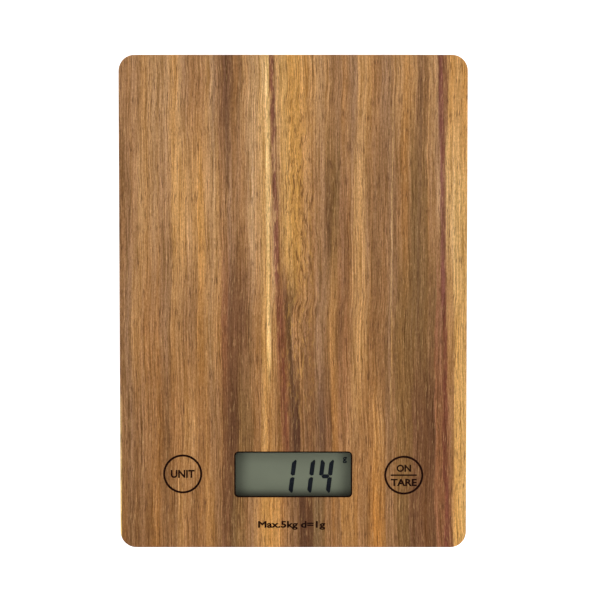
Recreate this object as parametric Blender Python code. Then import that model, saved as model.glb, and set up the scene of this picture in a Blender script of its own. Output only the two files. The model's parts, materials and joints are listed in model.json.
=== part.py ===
"""A slim electronic kitchen scale: a flat wooden platform on a moulded tray with four sensing feet.

Metres, +Z up. The origin is on the surface the scale stands on, under the middle of the platform.
+Y points to the far edge, and the display is near the -Y edge.
"""

import math

import bmesh
import bpy
from mathutils import Matrix

MM = 0.001
GAP = 0.3 * MM  # between pieces that touch or are glued
SKIN = 0.1 * MM  # between a screw's head and what it holds
OVERLAP = 0.3 * MM  # how far fused features sink into each other
PAST = 1.0 * MM  # how far a cutter runs past the face that it opens
WELD = 0.002 * MM  # vertices closer than this are one

# Platform board
PLATFORM_WIDTH = 141 * MM
PLATFORM_LENGTH = 200 * MM
PLATFORM_BOTTOM = 14 * MM
PLATFORM_TOP = 20 * MM
PLATFORM_CORNER = 6.5 * MM
PLATFORM_EASE = 0.6 * MM

# Display window and what lies under it
WINDOW_WIDTH = 48.1 * MM
WINDOW_LENGTH = 18.8 * MM
WINDOW_CORNER = 1.8 * MM
DISPLAY_Y = -70 * MM
WINDOW_LIP = 2 * MM
LENS_THICKNESS = 1 * MM
LENS_MARGIN = 1.9 * MM
LENS_CORNER = 1.2 * MM
LENS_SEAT_CORNER = 1.5 * MM
LENS_GLUE = 0.25 * MM
MODULE_POCKET_TOP = 16.6 * MM
MODULE_CLEARANCE = 0.5 * MM
KEY_X = 45 * MM
KEY_POCKET_RADIUS = 9 * MM
KEY_POCKET_TOP = 17.4 * MM

# Tray
TRAY_WIDTH = 129 * MM
TRAY_LENGTH = 188 * MM
TRAY_CORNER = 9 * MM
TRAY_BOTTOM = 2.5 * MM
TRAY_TOP = PLATFORM_BOTTOM - GAP
TRAY_EDGE = 1.6 * MM
WALL = 1.8 * MM
FLOOR_TOP = TRAY_BOTTOM + WALL
RIB_TOP = 6.5 * MM
RIB_WIDTH = 1.4 * MM
RIBS_ACROSS_Y = (-47 * MM, 20 * MM, 52 * MM)
RIBS_ALONG_X = (-20 * MM, 20 * MM)
CLAMP_POST_RADIUS = 3.5 * MM
BOARD_POST_RADIUS = 2.8 * MM
PLATFORM_POST_RADIUS = 4.2 * MM
HOOK_HALF = 5 * MM
HOOK_REACH = 2.9 * MM
HOOK_THICKNESS = 1.6 * MM

# Feet and load cells
FOOT_X = 47 * MM
FOOT_Y = 77 * MM
FOOT_RADIUS = 10.6 * MM
FOOT_HOLE_RADIUS = 11.1 * MM
FLANGE_RADIUS = 12.25 * MM
COLLAR_INNER = 12.75 * MM
COLLAR_OUTER = 15 * MM
COLLAR_TOP = 6.5 * MM
FOOT_TRAVEL = 0.25 * MM
PAD_RADIUS = 7.5 * MM
CELL_SIDE = 26 * MM
CELL_BOTTOM = COLLAR_TOP + GAP
CELL_THICKNESS = 1.2 * MM
CLAMP_BOTTOM = CELL_BOTTOM + CELL_THICKNESS + GAP
CLAMP_THICKNESS = 1 * MM
CLAMP_SCREW_REACH = 17.5 * MM
CLAMP_TAB_REACH = 14.8 * MM
CLAMP_HOLE_RADIUS = 1.3 * MM
TONGUE_HALF = 5 * MM
SLOT_WIDTH = 2 * MM
PLATE_CHAMFER = 2 * MM
GAUGE_OFFSET = 3 * MM
PAD_SOCKET_TOP = 2.1 * MM
FLANGE_THICKNESS = 1 * MM
STEM_RADIUS = 3 * MM

# Circuit board
BOARD_WIDTH = 112 * MM
BOARD_LENGTH = 30 * MM
BOARD_BOTTOM = 11.2 * MM
BOARD_THICKNESS = 1 * MM
BOARD_TOP = BOARD_BOTTOM + BOARD_THICKNESS
BOARD_SCREW_X = 30 * MM
BOARD_SCREW_Y = 12 * MM
BOARD_HOLE_RADIUS = 1.3 * MM
TOUCH_PAD_RADIUS = 7.5 * MM
TOUCH_PAD_THICKNESS = 0.3 * MM
SPRING_RADIUS = 4 * MM
SPRING_WIRE = 0.35 * MM
SPRING_TURNS = 4

# Display module, with distances along Y from the display's middle
FRAME_WIDTH = 54 * MM
FRAME_WALL = 1.4 * MM
FRAME_BOTTOM = BOARD_TOP + GAP
FRAME_TOP = 16.4 * MM
FRAME_SHELF = 13.6 * MM
GLASS_WIDTH = 50.6 * MM
GLASS_NEAR = -11.8 * MM
REAR_GLASS_FAR = 9.8 * MM
FRONT_GLASS_FAR = 12.8 * MM
GLASS_THICKNESS = 1.1 * MM
GLASS_BOND = 0.05 * MM

# Platform screws
SCREW_X = 55 * MM
SCREW_Y = 36 * MM
SCREW_SEAT = 8.5 * MM
SCREW_WELL_RADIUS = 3.3 * MM
PILOT_RADIUS = 1.75 * MM
PILOT_TOP = 18 * MM

# Battery and its door
BATTERY_Y = -22 * MM
BATTERY_RADIUS = 10 * MM
BATTERY_BOTTOM = 5 * MM
BATTERY_THICKNESS = 3.2 * MM
BOX_HALF = 15.5 * MM
BOX_NEAR = -37.2 * MM
BOX_FAR = -3.6 * MM
BOX_TOP = 10.6 * MM
CAVITY_RADIUS = 10.6 * MM
CAVITY_TOP = 9.3 * MM
DOOR_HALF = 12.7 * MM
DOOR_REACH = 24.2 * MM
DOOR_THICKNESS = 1.7 * MM
DOOR_CLEARANCE = 0.35 * MM
HINGE_Y = -33.65 * MM
HINGE_Z = 3.6 * MM
HINGE_PIN_RADIUS = 0.45 * MM
HINGE_PIN_END = 14.2 * MM
LATCH_HALF = 4 * MM
LATCH_REACH = 27.4 * MM
LATCH_SLIT = 0.8 * MM
DOOR_RIBS_Y = (7 * MM, 15 * MM)
CONTACT_SHEET = 0.3 * MM
LEAF_HALF = 2 * MM
LEAF_END = 7.2 * MM
BLADE_HALF = 2.5 * MM
BLADE_X = 10.7 * MM
CONTACT_TOP = 11.6 * MM

# Rating label, blank
LABEL_Y = 42 * MM
LABEL_WIDTH = 62 * MM
LABEL_LENGTH = 30 * MM
LABEL_RECESS = 0.5 * MM
LABEL_THICKNESS = 0.2 * MM

LEAD_RADIUS = 0.6 * MM
CORNERS = {
    "front_left": (-1, -1),
    "front_right": (1, -1),
    "rear_left": (-1, 1),
    "rear_right": (1, 1),
}

FINISHES = {
    "acacia": ((0.42, 0.22, 0.09), 0.55, 0.0),
    "black_abs": ((0.025, 0.025, 0.027), 0.5, 0.0),
    "grey_abs": ((0.16, 0.16, 0.17), 0.5, 0.0),
    "white_abs": ((0.75, 0.75, 0.73), 0.45, 0.0),
    "clear_acrylic": ((0.85, 0.88, 0.86), 0.08, 0.0),
    "lcd_glass": ((0.18, 0.2, 0.16), 0.15, 0.0),
    "silicone": ((0.32, 0.32, 0.34), 0.7, 0.0),
    "rubber": ((0.04, 0.04, 0.045), 0.8, 0.0),
    "steel": ((0.6, 0.61, 0.62), 0.3, 1.0),
    "copper": ((0.8, 0.42, 0.25), 0.3, 1.0),
    "fibreglass": ((0.03, 0.16, 0.07), 0.4, 0.0),
    "epoxy": ((0.015, 0.015, 0.015), 0.3, 0.0),
    "label_film": ((0.7, 0.71, 0.72), 0.35, 0.0),
    "red_lead": ((0.55, 0.03, 0.03), 0.5, 0.0),
    "black_lead": ((0.02, 0.02, 0.02), 0.5, 0.0),
    "white_lead": ((0.75, 0.75, 0.72), 0.5, 0.0),
}


def clear_scene():
    """Removes every object of the open file."""
    for obj in list(bpy.data.objects):
        bpy.data.objects.remove(obj)


def finish(name):
    """The named finish as a material, made once."""
    found = bpy.data.materials.get(name)
    if found:
        return found
    colour, roughness, metallic = FINISHES[name]
    made = bpy.data.materials.new(name)
    made.use_nodes = True
    shader = made.node_tree.nodes["Principled BSDF"]
    shader.inputs["Base Color"].default_value = (*colour, 1)
    shader.inputs["Roughness"].default_value = roughness
    shader.inputs["Metallic"].default_value = metallic
    made.diffuse_color = (*colour, 1)
    return made


def solid(shape):
    """A bmesh as an object in the scene, with its faces turned outwards."""
    bmesh.ops.recalc_face_normals(shape, faces=shape.faces)
    mesh = bpy.data.meshes.new("solid")
    shape.to_mesh(mesh)
    shape.free()
    obj = bpy.data.objects.new("solid", mesh)
    bpy.context.scene.collection.objects.link(obj)
    return obj


def weld(mesh):
    """Joins vertices that lie closer than the weld distance."""
    shape = bmesh.new()
    shape.from_mesh(mesh)
    bmesh.ops.remove_doubles(shape, verts=shape.verts, dist=WELD)
    bmesh.ops.dissolve_degenerate(shape, edges=shape.edges, dist=WELD)
    shape.to_mesh(mesh)
    shape.free()


def combined(base, operation, tools):
    """Base with each tool cut from it or fused to it. The tools are used up."""
    for tool in tools:
        step = base.modifiers.new("step", "BOOLEAN")
        step.operation = operation
        step.solver = "EXACT"
        step.object = tool
    graph = bpy.context.evaluated_depsgraph_get()
    mesh = bpy.data.meshes.new_from_object(base.evaluated_get(graph))
    base.modifiers.clear()
    weld(mesh)
    base.data = mesh
    for tool in tools:
        bpy.data.objects.remove(tool)
    return base


def cut(base, *tools):
    """Base less the tools."""
    return combined(base, "DIFFERENCE", tools)


def fuse(base, *tools):
    """Base and the tools as one body."""
    return combined(base, "UNION", tools)


def place(name, made, look, at=(0, 0, 0), turn=0.0, parent=None):
    """Names a finished solid, gives it its finish and puts it in its place."""
    made.name = made.data.name = name
    made.data.materials.clear()
    made.data.materials.append(finish(look))
    made.data.shade_smooth()
    made.data.set_sharp_from_angle(angle=math.radians(35))
    made.location = at
    made.rotation_euler.z = turn
    made.parent = parent
    return made


def rounded_rectangle(width, length, radius, steps=5):
    """Outline of a rectangle with arc corners, anticlockwise from above."""
    points = []
    for corner in range(4):
        side_x = 1 if corner in (0, 3) else -1
        side_y = 1 if corner in (0, 1) else -1
        for step in range(steps + 1):
            angle = (corner + step / steps) * math.pi / 2
            x = side_x * (width / 2 - radius) + radius * math.cos(angle)
            y = side_y * (length / 2 - radius) + radius * math.sin(angle)
            points.append((x, y))
    return points


def cut_corner_rectangle(width, length, chamfer):
    """Outline of a rectangle with its corners cut at 45 degrees."""
    return rounded_rectangle(width, length, chamfer, steps=1)


def moved(points, dx, dy):
    """An outline shifted in its plane."""
    return [(x + dx, y + dy) for x, y in points]


def stacked(rings):
    """A solid through outlines of equal length, each given as (points, height), capped at both ends."""
    shape = bmesh.new()
    loops = [[shape.verts.new((x, y, z)) for x, y in points] for points, z in rings]
    for below, above in zip(loops, loops[1:]):
        for i in range(len(below)):
            j = (i + 1) % len(below)
            shape.faces.new((below[i], below[j], above[j], above[i]))
    shape.faces.new(loops[0][::-1])
    shape.faces.new(loops[-1])
    return solid(shape)


def prism(points, bottom, top):
    """A straight solid on an outline."""
    return stacked([(points, bottom), (points, top)])


def block(x, y, z):
    """A box from its (low, high) pairs along each axis."""
    points = [(x[0], y[0]), (x[1], y[0]), (x[1], y[1]), (x[0], y[1])]
    return prism(points, *z)


def turned(profile, steps=20, at=(0, 0)):
    """A solid turned about a vertical axis, from (radius, height) points that start and end on it."""
    shape = bmesh.new()
    verts = [shape.verts.new((radius, 0, z)) for radius, z in profile]
    edges = [shape.edges.new(pair) for pair in zip(verts, verts[1:])]
    bmesh.ops.spin(shape, geom=verts + edges, axis=(0, 0, 1), angle=2 * math.pi, steps=steps)
    bmesh.ops.remove_doubles(shape, verts=shape.verts, dist=1e-7)
    bmesh.ops.translate(shape, verts=shape.verts, vec=(*at, 0))
    return solid(shape)


def cylinder(radius, bottom, top, at=(0, 0), steps=20):
    """A round bar on a vertical axis."""
    return turned([(0, bottom), (radius, bottom), (radius, top), (0, top)], steps, at)


def cross_bar(radius, half_length, y, z, steps=8):
    """A round bar along X through the middle plane."""
    bar = cylinder(radius, -half_length, half_length, steps=steps)
    bar.data.transform(Matrix.Translation((0, y, z)) @ Matrix.Rotation(math.pi / 2, 4, "Y"))
    return bar


def at_corners(x, y):
    """The four places mirrored about both middle planes."""
    return [(side_x * x, side_y * y) for side_x, side_y in CORNERS.values()]


# ---------------------------------------------------------------- platform


def module_pocket_outline(margin):
    """Outline of the display module's frame, grown by a margin, in the platform's coordinates."""
    low, high = GLASS_NEAR - GAP - FRAME_WALL, FRONT_GLASS_FAR + GAP + FRAME_WALL
    points = rounded_rectangle(FRAME_WIDTH + 2 * margin, high - low + 2 * margin, 1.5 * MM, 3)
    return moved(points, 0, DISPLAY_Y + (low + high) / 2)


def make_platform():
    """The board: eased edges, a window, and pockets under it for display, keys and screws."""
    rings = [
        (PLATFORM_EASE, PLATFORM_BOTTOM),
        (0, PLATFORM_BOTTOM + PLATFORM_EASE),
        (0, PLATFORM_TOP - PLATFORM_EASE),
        (PLATFORM_EASE * 0.3, PLATFORM_TOP - PLATFORM_EASE * 0.3),
        (PLATFORM_EASE, PLATFORM_TOP),
    ]
    board = stacked(
        [
            (
                rounded_rectangle(
                    PLATFORM_WIDTH - 2 * inset, PLATFORM_LENGTH - 2 * inset, PLATFORM_CORNER - inset, 6
                ),
                z,
            )
            for inset, z in rings
        ]
    )
    window = moved(rounded_rectangle(WINDOW_WIDTH, WINDOW_LENGTH, WINDOW_CORNER, 5), 0, DISPLAY_Y)
    seat_margin = 2 * (LENS_MARGIN + GAP)
    lens_seat = rounded_rectangle(
        WINDOW_WIDTH + seat_margin, WINDOW_LENGTH + seat_margin, LENS_SEAT_CORNER, 3
    )
    below = PLATFORM_BOTTOM - PAST
    cut(
        board,
        prism(window, below, PLATFORM_TOP + PAST),
        prism(moved(lens_seat, 0, DISPLAY_Y), below, PLATFORM_TOP - WINDOW_LIP),
        prism(module_pocket_outline(MODULE_CLEARANCE), below, MODULE_POCKET_TOP),
        *[cylinder(KEY_POCKET_RADIUS, below, KEY_POCKET_TOP, (x, DISPLAY_Y)) for x in (-KEY_X, KEY_X)],
        *[cylinder(PILOT_RADIUS, below, PILOT_TOP, spot, 8) for spot in at_corners(SCREW_X, SCREW_Y)],
    )
    place("wood_platform", board, "acacia")


def make_lens():
    """Clear window glued up into the seat under the platform's lip."""
    outline = rounded_rectangle(
        WINDOW_WIDTH + 2 * LENS_MARGIN, WINDOW_LENGTH + 2 * LENS_MARGIN, LENS_CORNER, 3
    )
    place(
        "window_lens",
        prism(outline, 0, LENS_THICKNESS),
        "clear_acrylic",
        (0, DISPLAY_Y, PLATFORM_TOP - WINDOW_LIP - LENS_GLUE - LENS_THICKNESS),
    )


# ---------------------------------------------------------------- tray


def tray_shell():
    """The tray's outside, with a rounded lower edge, hollowed from above."""
    arc_steps = 3
    rings = []
    for step in range(arc_steps + 1):
        angle = step / arc_steps * math.pi / 2
        rings.append((TRAY_EDGE * (1 - math.sin(angle)), TRAY_BOTTOM + TRAY_EDGE * (1 - math.cos(angle))))
    rings.append((0, TRAY_TOP))
    outside = stacked(
        [
            (rounded_rectangle(TRAY_WIDTH - 2 * inset, TRAY_LENGTH - 2 * inset, TRAY_CORNER - inset), z)
            for inset, z in rings
        ]
    )
    hollow = rounded_rectangle(TRAY_WIDTH - 2 * WALL, TRAY_LENGTH - 2 * WALL, TRAY_CORNER - WALL)
    return cut(outside, prism(hollow, FLOOR_TOP, TRAY_TOP + PAST))


def tray_ribs():
    """Stiffening ribs on the tray's floor."""
    z = (FLOOR_TOP - OVERLAP, RIB_TOP)
    half_x = TRAY_WIDTH / 2 - WALL + OVERLAP
    half_y = TRAY_LENGTH / 2 - WALL + OVERLAP
    start = BOX_FAR + 5 * MM
    half_rib = RIB_WIDTH / 2
    ribs = [block((-half_x, half_x), (y, y + RIB_WIDTH), z) for y in RIBS_ACROSS_Y]
    ribs += [block((x - half_rib, x + half_rib), (start, half_y), z) for x in RIBS_ALONG_X]
    return ribs


def tray_posts():
    """Round posts and collars, fused to the floor."""
    low = FLOOR_TOP - OVERLAP
    posts = [
        cut(
            cylinder(COLLAR_OUTER, low, COLLAR_TOP, spot, 24),
            cylinder(COLLAR_INNER, low - PAST, COLLAR_TOP + PAST, spot, 24),
        )
        for spot in at_corners(FOOT_X, FOOT_Y)
    ]
    inner_y = FOOT_Y - CLAMP_SCREW_REACH
    posts += [
        cylinder(CLAMP_POST_RADIUS, low, CLAMP_BOTTOM - GAP, spot, 12)
        for spot in at_corners(FOOT_X, inner_y)
    ]
    posts += [
        cylinder(PLATFORM_POST_RADIUS, low, TRAY_TOP, spot, 12) for spot in at_corners(SCREW_X, SCREW_Y)
    ]
    posts += [
        cylinder(BOARD_POST_RADIUS, low, BOARD_BOTTOM - GAP, (x, DISPLAY_Y + y), 12)
        for x, y in at_corners(BOARD_SCREW_X, BOARD_SCREW_Y)
    ]
    return posts


def tray_hooks():
    """Ledges on the end walls that hold down each clamp's tab."""
    bottom = CLAMP_BOTTOM + CLAMP_THICKNESS + GAP
    wall_y = TRAY_LENGTH / 2 - WALL
    hooks = []
    for side_x, side_y in CORNERS.values():
        x = side_x * FOOT_X
        y = sorted((side_y * (wall_y - HOOK_REACH), side_y * (wall_y + OVERLAP)))
        hooks.append(block((x - HOOK_HALF, x + HOOK_HALF), y, (bottom, bottom + HOOK_THICKNESS)))
    return hooks


def tray_holes():
    """Everything that is cut from the floor, posts and collars."""
    low = TRAY_BOTTOM - PAST
    holes = []
    for spot in at_corners(FOOT_X, FOOT_Y):
        holes.append(cylinder(FOOT_HOLE_RADIUS, low, FLOOR_TOP + PAST, spot, 24))
    for spot in at_corners(FOOT_X, FOOT_Y - CLAMP_SCREW_REACH):
        holes.append(cylinder(1.3 * MM, FLOOR_TOP + 0.6 * MM, CLAMP_BOTTOM + PAST, spot, 8))
    for x, y in at_corners(BOARD_SCREW_X, BOARD_SCREW_Y):
        holes.append(cylinder(1.15 * MM, 6 * MM, BOARD_BOTTOM + PAST, (x, DISPLAY_Y + y), 8))
    for spot in at_corners(SCREW_X, SCREW_Y):
        holes.append(cylinder(SCREW_WELL_RADIUS, low, SCREW_SEAT, spot, 16))
        holes.append(cylinder(1.8 * MM, SCREW_SEAT - PAST, TRAY_TOP + PAST, spot, 8))
    label = moved(rounded_rectangle(LABEL_WIDTH + MM, LABEL_LENGTH + MM, 2.5 * MM, 4), 0, LABEL_Y)
    holes.append(prism(label, low, TRAY_BOTTOM + LABEL_RECESS))
    return holes


def battery_box():
    """The raised box over the coin cell, and the thick floor behind the latch."""
    low = FLOOR_TOP - OVERLAP
    box = block((-BOX_HALF, BOX_HALF), (BOX_NEAR, BOX_FAR), (low, BOX_TOP))
    floor_pad = block((-8 * MM, 8 * MM), (BOX_FAR - PAST, 3 * MM), (low, RIB_TOP))
    return [box, floor_pad]


def battery_box_cuts():
    """The door's opening, latch notch, finger scoop, cell cavity, hinge sockets and contact slots."""
    low = TRAY_BOTTOM - PAST
    near = HINGE_Y - DOOR_THICKNESS / 2 - DOOR_CLEARANCE
    far = HINGE_Y + DOOR_REACH + DOOR_CLEARANCE
    side = DOOR_HALF + DOOR_CLEARANCE
    ceiling = HINGE_Z + DOOR_THICKNESS / 2 + GAP
    notch_side = LATCH_HALF + DOOR_CLEARANCE
    notch_far = HINGE_Y + LATCH_REACH + DOOR_CLEARANCE
    dish = [(0, -1.9), (3.4, -1.6), (6, -0.6), (6.6, 0), (0, 0)]
    scoop = turned([(radius * MM, z * MM) for radius, z in dish], 16)
    scoop.data.transform(
        Matrix.Translation((0, notch_far, TRAY_BOTTOM - SKIN)) @ Matrix.Diagonal((1, 0.8, -1, 1))
    )
    scoop.data.flip_normals()
    slot_z = (CAVITY_TOP - PAST, BOX_TOP + PAST)
    return [
        block((-side, side), (near, far), (low, ceiling)),
        block((-notch_side, notch_side), (far - PAST, notch_far), (low, ceiling)),
        scoop,
        cylinder(CAVITY_RADIUS, low, CAVITY_TOP, (0, BATTERY_Y), 24),
        cross_bar(0.7 * MM, HINGE_PIN_END + GAP, HINGE_Y, HINGE_Z),
        block((-2.4 * MM, 2.4 * MM), (BATTERY_Y + 6.4 * MM, BATTERY_Y + 7.6 * MM), slot_z),
        block((10 * MM, 11.8 * MM), (BATTERY_Y - 2.9 * MM, BATTERY_Y + 2.9 * MM), (5.4 * MM, slot_z[1])),
    ]


def make_tray():
    """The moulded tray that carries everything under the platform."""
    tray = fuse(tray_shell(), *tray_ribs(), *tray_posts(), *tray_hooks(), *battery_box())
    cut(tray, *tray_holes(), *battery_box_cuts())
    place("base_shell", tray, "black_abs")


def make_label():
    """Blank label in its recess under the tray."""
    outline = rounded_rectangle(LABEL_WIDTH, LABEL_LENGTH, 2 * MM, 4)
    place(
        "rating_label",
        prism(outline, 0, LABEL_THICKNESS),
        "label_film",
        (0, LABEL_Y, TRAY_BOTTOM + LABEL_RECESS - LABEL_THICKNESS - SKIN),
    )


# ---------------------------------------------------------------- feet and load cells


def foot_cap():
    """A cap with a socket for its pad below, a flange that keeps it in the tray, and a stem above."""
    flange_bottom = FLOOR_TOP + GAP
    flange_top = flange_bottom + FLANGE_THICKNESS
    return turned(
        [
            (0, PAD_SOCKET_TOP),
            (PAD_RADIUS + GAP, PAD_SOCKET_TOP),
            (PAD_RADIUS + GAP, 0.9 * MM),
            (FOOT_RADIUS - 0.8 * MM, 0.9 * MM),
            (FOOT_RADIUS, 1.7 * MM),
            (FOOT_RADIUS, flange_bottom),
            (FLANGE_RADIUS, flange_bottom),
            (FLANGE_RADIUS, flange_top),
            (STEM_RADIUS, flange_top),
            (STEM_RADIUS, CELL_BOTTOM - 0.75 * MM),
            (STEM_RADIUS - 0.4 * MM, CELL_BOTTOM - FOOT_TRAVEL - SKIN),
            (0, CELL_BOTTOM - FOOT_TRAVEL - SKIN),
        ]
    )


def foot_pad():
    """Soft round pad that the scale stands on."""
    return turned(
        [
            (0, 0),
            (PAD_RADIUS - 0.6 * MM, 0),
            (PAD_RADIUS, 0.6 * MM),
            (PAD_RADIUS, PAD_SOCKET_TOP - GAP),
            (0, PAD_SOCKET_TOP - GAP),
        ]
    )


def load_cell():
    """Steel plate with a U-shaped slot that frees the tongue on which the foot's stem presses."""
    plate = prism(cut_corner_rectangle(CELL_SIDE, CELL_SIDE, PLATE_CHAMFER), 0, CELL_THICKNESS)
    z = (-PAST, CELL_THICKNESS + PAST)
    inner, outer = TONGUE_HALF, TONGUE_HALF + SLOT_WIDTH
    slot = fuse(
        block((-outer, outer), (-outer - SLOT_WIDTH, -outer), z),
        block((-outer, -inner), (-outer - SLOT_WIDTH / 2, inner), z),
        block((inner, outer), (-outer - SLOT_WIDTH / 2, inner), z),
    )
    return cut(plate, slot)


def strain_gauge():
    """Gauge under its coat of silicone, on the tongue's root."""
    outline = rounded_rectangle(7 * MM, 4.6 * MM, 1 * MM, 3)
    inner = rounded_rectangle(6 * MM, 3.6 * MM, 0.8 * MM, 3)
    return stacked([(outline, 0), (outline, 0.3 * MM), (inner, 0.6 * MM)])


def load_cell_clamp():
    """Open plate over the load cell, with a tab for the tray's hook and an ear for its screw."""
    plate = prism(cut_corner_rectangle(CELL_SIDE, CELL_SIDE, PLATE_CHAMFER), 0, CLAMP_THICKNESS)
    z = (0, CLAMP_THICKNESS)
    half = CELL_SIDE / 2
    ear = moved(rounded_rectangle(9 * MM, 11 * MM, 3.5 * MM, 3), 0, CLAMP_SCREW_REACH - 1.5 * MM)
    fuse(
        plate,
        prism(ear, *z),
        block((-4 * MM, 4 * MM), (-CLAMP_TAB_REACH, -half + PAST), z),
    )
    opening = rounded_rectangle(18 * MM, 16 * MM, 1.5 * MM, 3)
    return cut(
        plate,
        prism(opening, -PAST, CLAMP_THICKNESS + PAST),
        cylinder(CLAMP_HOLE_RADIUS, -PAST, CLAMP_THICKNESS + PAST, (0, CLAMP_SCREW_REACH), 12),
    )


def screw(head_radius, head_height, shank_radius, length, steps=10):
    """Pan-head screw pointing down, its head's seat at height 0, with a cross recess."""
    body = turned(
        [
            (0, -length),
            (shank_radius * 0.3, -length),
            (shank_radius, -length + shank_radius * 1.6),
            (shank_radius, 0),
            (head_radius, 0),
            (head_radius, head_height * 0.45),
            (head_radius * 0.72, head_height),
            (0, head_height),
        ],
        steps,
    )
    long, short = head_radius * 0.55, head_radius * 0.14
    z = (head_height * 0.35, head_height + PAST)
    recess = fuse(block((-long, long), (-short, short), z), block((-short, short), (-long, long), z))
    return cut(body, recess)


def copies(made, count):
    """The solid and further objects that share its mesh."""
    found = [made]
    while len(found) < count:
        twin = made.copy()
        bpy.context.scene.collection.objects.link(twin)
        found.append(twin)
    return found


def make_corner_sets():
    """Foot, pad, load cell, gauge, clamp and screw at each corner, with an empty on each foot's axis."""
    caps, pads = copies(foot_cap(), 4), copies(foot_pad(), 4)
    cells, gauges = copies(load_cell(), 4), copies(strain_gauge(), 4)
    clamps = copies(load_cell_clamp(), 4)
    screws = copies(screw(2.2 * MM, 1.2 * MM, 1 * MM, 4 * MM), 4)
    cell_top = CELL_BOTTOM + CELL_THICKNESS
    clamp_top = CLAMP_BOTTOM + CLAMP_THICKNESS
    for index, (corner, (side_x, side_y)) in enumerate(CORNERS.items()):
        x, y = side_x * FOOT_X, side_y * FOOT_Y
        turn = math.pi if side_y > 0 else 0.0
        axis = bpy.data.objects.new(f"foot_{corner}", None)
        axis.location = (x, y, 0)
        bpy.context.scene.collection.objects.link(axis)
        place(f"foot_cap_{corner}", caps[index], "grey_abs", parent=axis)
        place(f"foot_pad_{corner}", pads[index], "rubber", parent=axis)
        place(f"load_cell_{corner}", cells[index], "steel", (x, y, CELL_BOTTOM), turn)
        gauge_y = y - side_y * GAUGE_OFFSET
        place(f"strain_gauge_{corner}", gauges[index], "white_abs", (x, gauge_y, cell_top + SKIN), turn)
        place(f"load_cell_clamp_{corner}", clamps[index], "steel", (x, y, CLAMP_BOTTOM), turn)
        screw_y = y - side_y * CLAMP_SCREW_REACH
        place(f"clamp_screw_{corner}", screws[index], "steel", (x, screw_y, clamp_top + SKIN))


# ---------------------------------------------------------------- electronics


def make_board():
    """Main circuit board with its screw holes and the chips under it."""
    outline = rounded_rectangle(BOARD_WIDTH, BOARD_LENGTH, 1.5 * MM, 3)
    board = prism(outline, 0, BOARD_THICKNESS)
    spots = at_corners(BOARD_SCREW_X, BOARD_SCREW_Y)
    cut(board, *[cylinder(BOARD_HOLE_RADIUS, -PAST, BOARD_THICKNESS + PAST, spot, 12) for spot in spots])
    place("main_pcb", board, "fibreglass", (0, DISPLAY_Y, BOARD_BOTTOM))
    under = BOARD_BOTTOM - SKIN
    blob = [(0, -1.6), (2.4, -1.3), (4.2, -0.7), (5, 0), (0, 0)]
    dome = turned([(radius * MM, z * MM) for radius, z in blob], 20)
    place("controller_chip", dome, "epoxy", (0, DISPLAY_Y, under))
    chip = block((-5 * MM, 5 * MM), (-2 * MM, 2 * MM), (-1.6 * MM, 0))
    place("converter_chip", chip, "epoxy", (-16 * MM, DISPLAY_Y + 5 * MM, under))
    can = stacked(
        [
            (rounded_rectangle(8 * MM, 3.4 * MM, 1.6 * MM, 4), -2.4 * MM),
            (rounded_rectangle(8.6 * MM, 4 * MM, 1.9 * MM, 4), -2 * MM),
            (rounded_rectangle(8.6 * MM, 4 * MM, 1.9 * MM, 4), 0),
        ]
    )
    place("crystal", can, "steel", (15 * MM, DISPLAY_Y + 5 * MM, under))
    sleeve = [(0, -4.6), (2.2, -4.6), (2.5, -4.2), (2.5, 0), (0, 0)]
    capacitor = turned([(radius * MM, z * MM) for radius, z in sleeve], 16)
    place("storage_capacitor", capacitor, "black_abs", (13 * MM, DISPLAY_Y - 8 * MM, under))
    screws = copies(screw(1.9 * MM, 1.1 * MM, 0.85 * MM, 5.5 * MM), 4)
    for number, (x, y) in enumerate(spots, 1):
        place(f"pcb_screw_{number}", screws[number - 1], "steel", (x, DISPLAY_Y + y, BOARD_TOP + SKIN))


def make_display():
    """The display module: holder, two glasses and the rubber connector to the circuit board."""
    low, high = GLASS_NEAR - GAP, FRONT_GLASS_FAR + GAP
    holder = prism(moved(module_pocket_outline(0), 0, -DISPLAY_Y), FRAME_BOTTOM, FRAME_TOP)
    half = GLASS_WIDTH / 2
    connector_y = (REAR_GLASS_FAR + 0.6 * MM, FRONT_GLASS_FAR - 0.4 * MM)
    cut(
        holder,
        block((-half - GAP, half + GAP), (low, high), (FRAME_SHELF, FRAME_TOP + PAST)),
        block((-22 * MM, 22 * MM), (low + 4 * MM, 6 * MM), (FRAME_BOTTOM - PAST, FRAME_SHELF + PAST)),
        block(
            (-half + 0.8 * MM, half - 0.8 * MM),
            (connector_y[0] - GAP, connector_y[1] + GAP),
            (FRAME_BOTTOM - PAST, FRAME_SHELF + PAST),
        ),
    )
    at = (0, DISPLAY_Y, 0)
    place("lcd_frame", holder, "black_abs", at)
    rear_z = (FRAME_SHELF + GAP, FRAME_SHELF + GAP + GLASS_THICKNESS)
    front_z = (rear_z[1] + GLASS_BOND, rear_z[1] + GLASS_BOND + GLASS_THICKNESS)
    rear_glass = block((-half, half), (GLASS_NEAR, REAR_GLASS_FAR), rear_z)
    front_glass = block((-half, half), (GLASS_NEAR, FRONT_GLASS_FAR), front_z)
    place("lcd_rear_glass", rear_glass, "lcd_glass", at)
    place("lcd_front_glass", front_glass, "lcd_glass", at)
    strip = block((-24 * MM, 24 * MM), connector_y, (BOARD_TOP + SKIN, front_z[0] - SKIN))
    place("zebra_connector", strip, "silicone", at)


def spring_turns(radius, pitch, turns, steps):
    """Points of a helix that starts and ends with a flat turn."""
    points = []
    for step in range(round(turns * steps) + 1):
        turn = step / steps
        rise = min(max(turn - 0.75, 0), turns - 1.5)
        angle = 2 * math.pi * turn
        points.append((radius * math.cos(angle), radius * math.sin(angle), rise * pitch))
    return points


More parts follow.
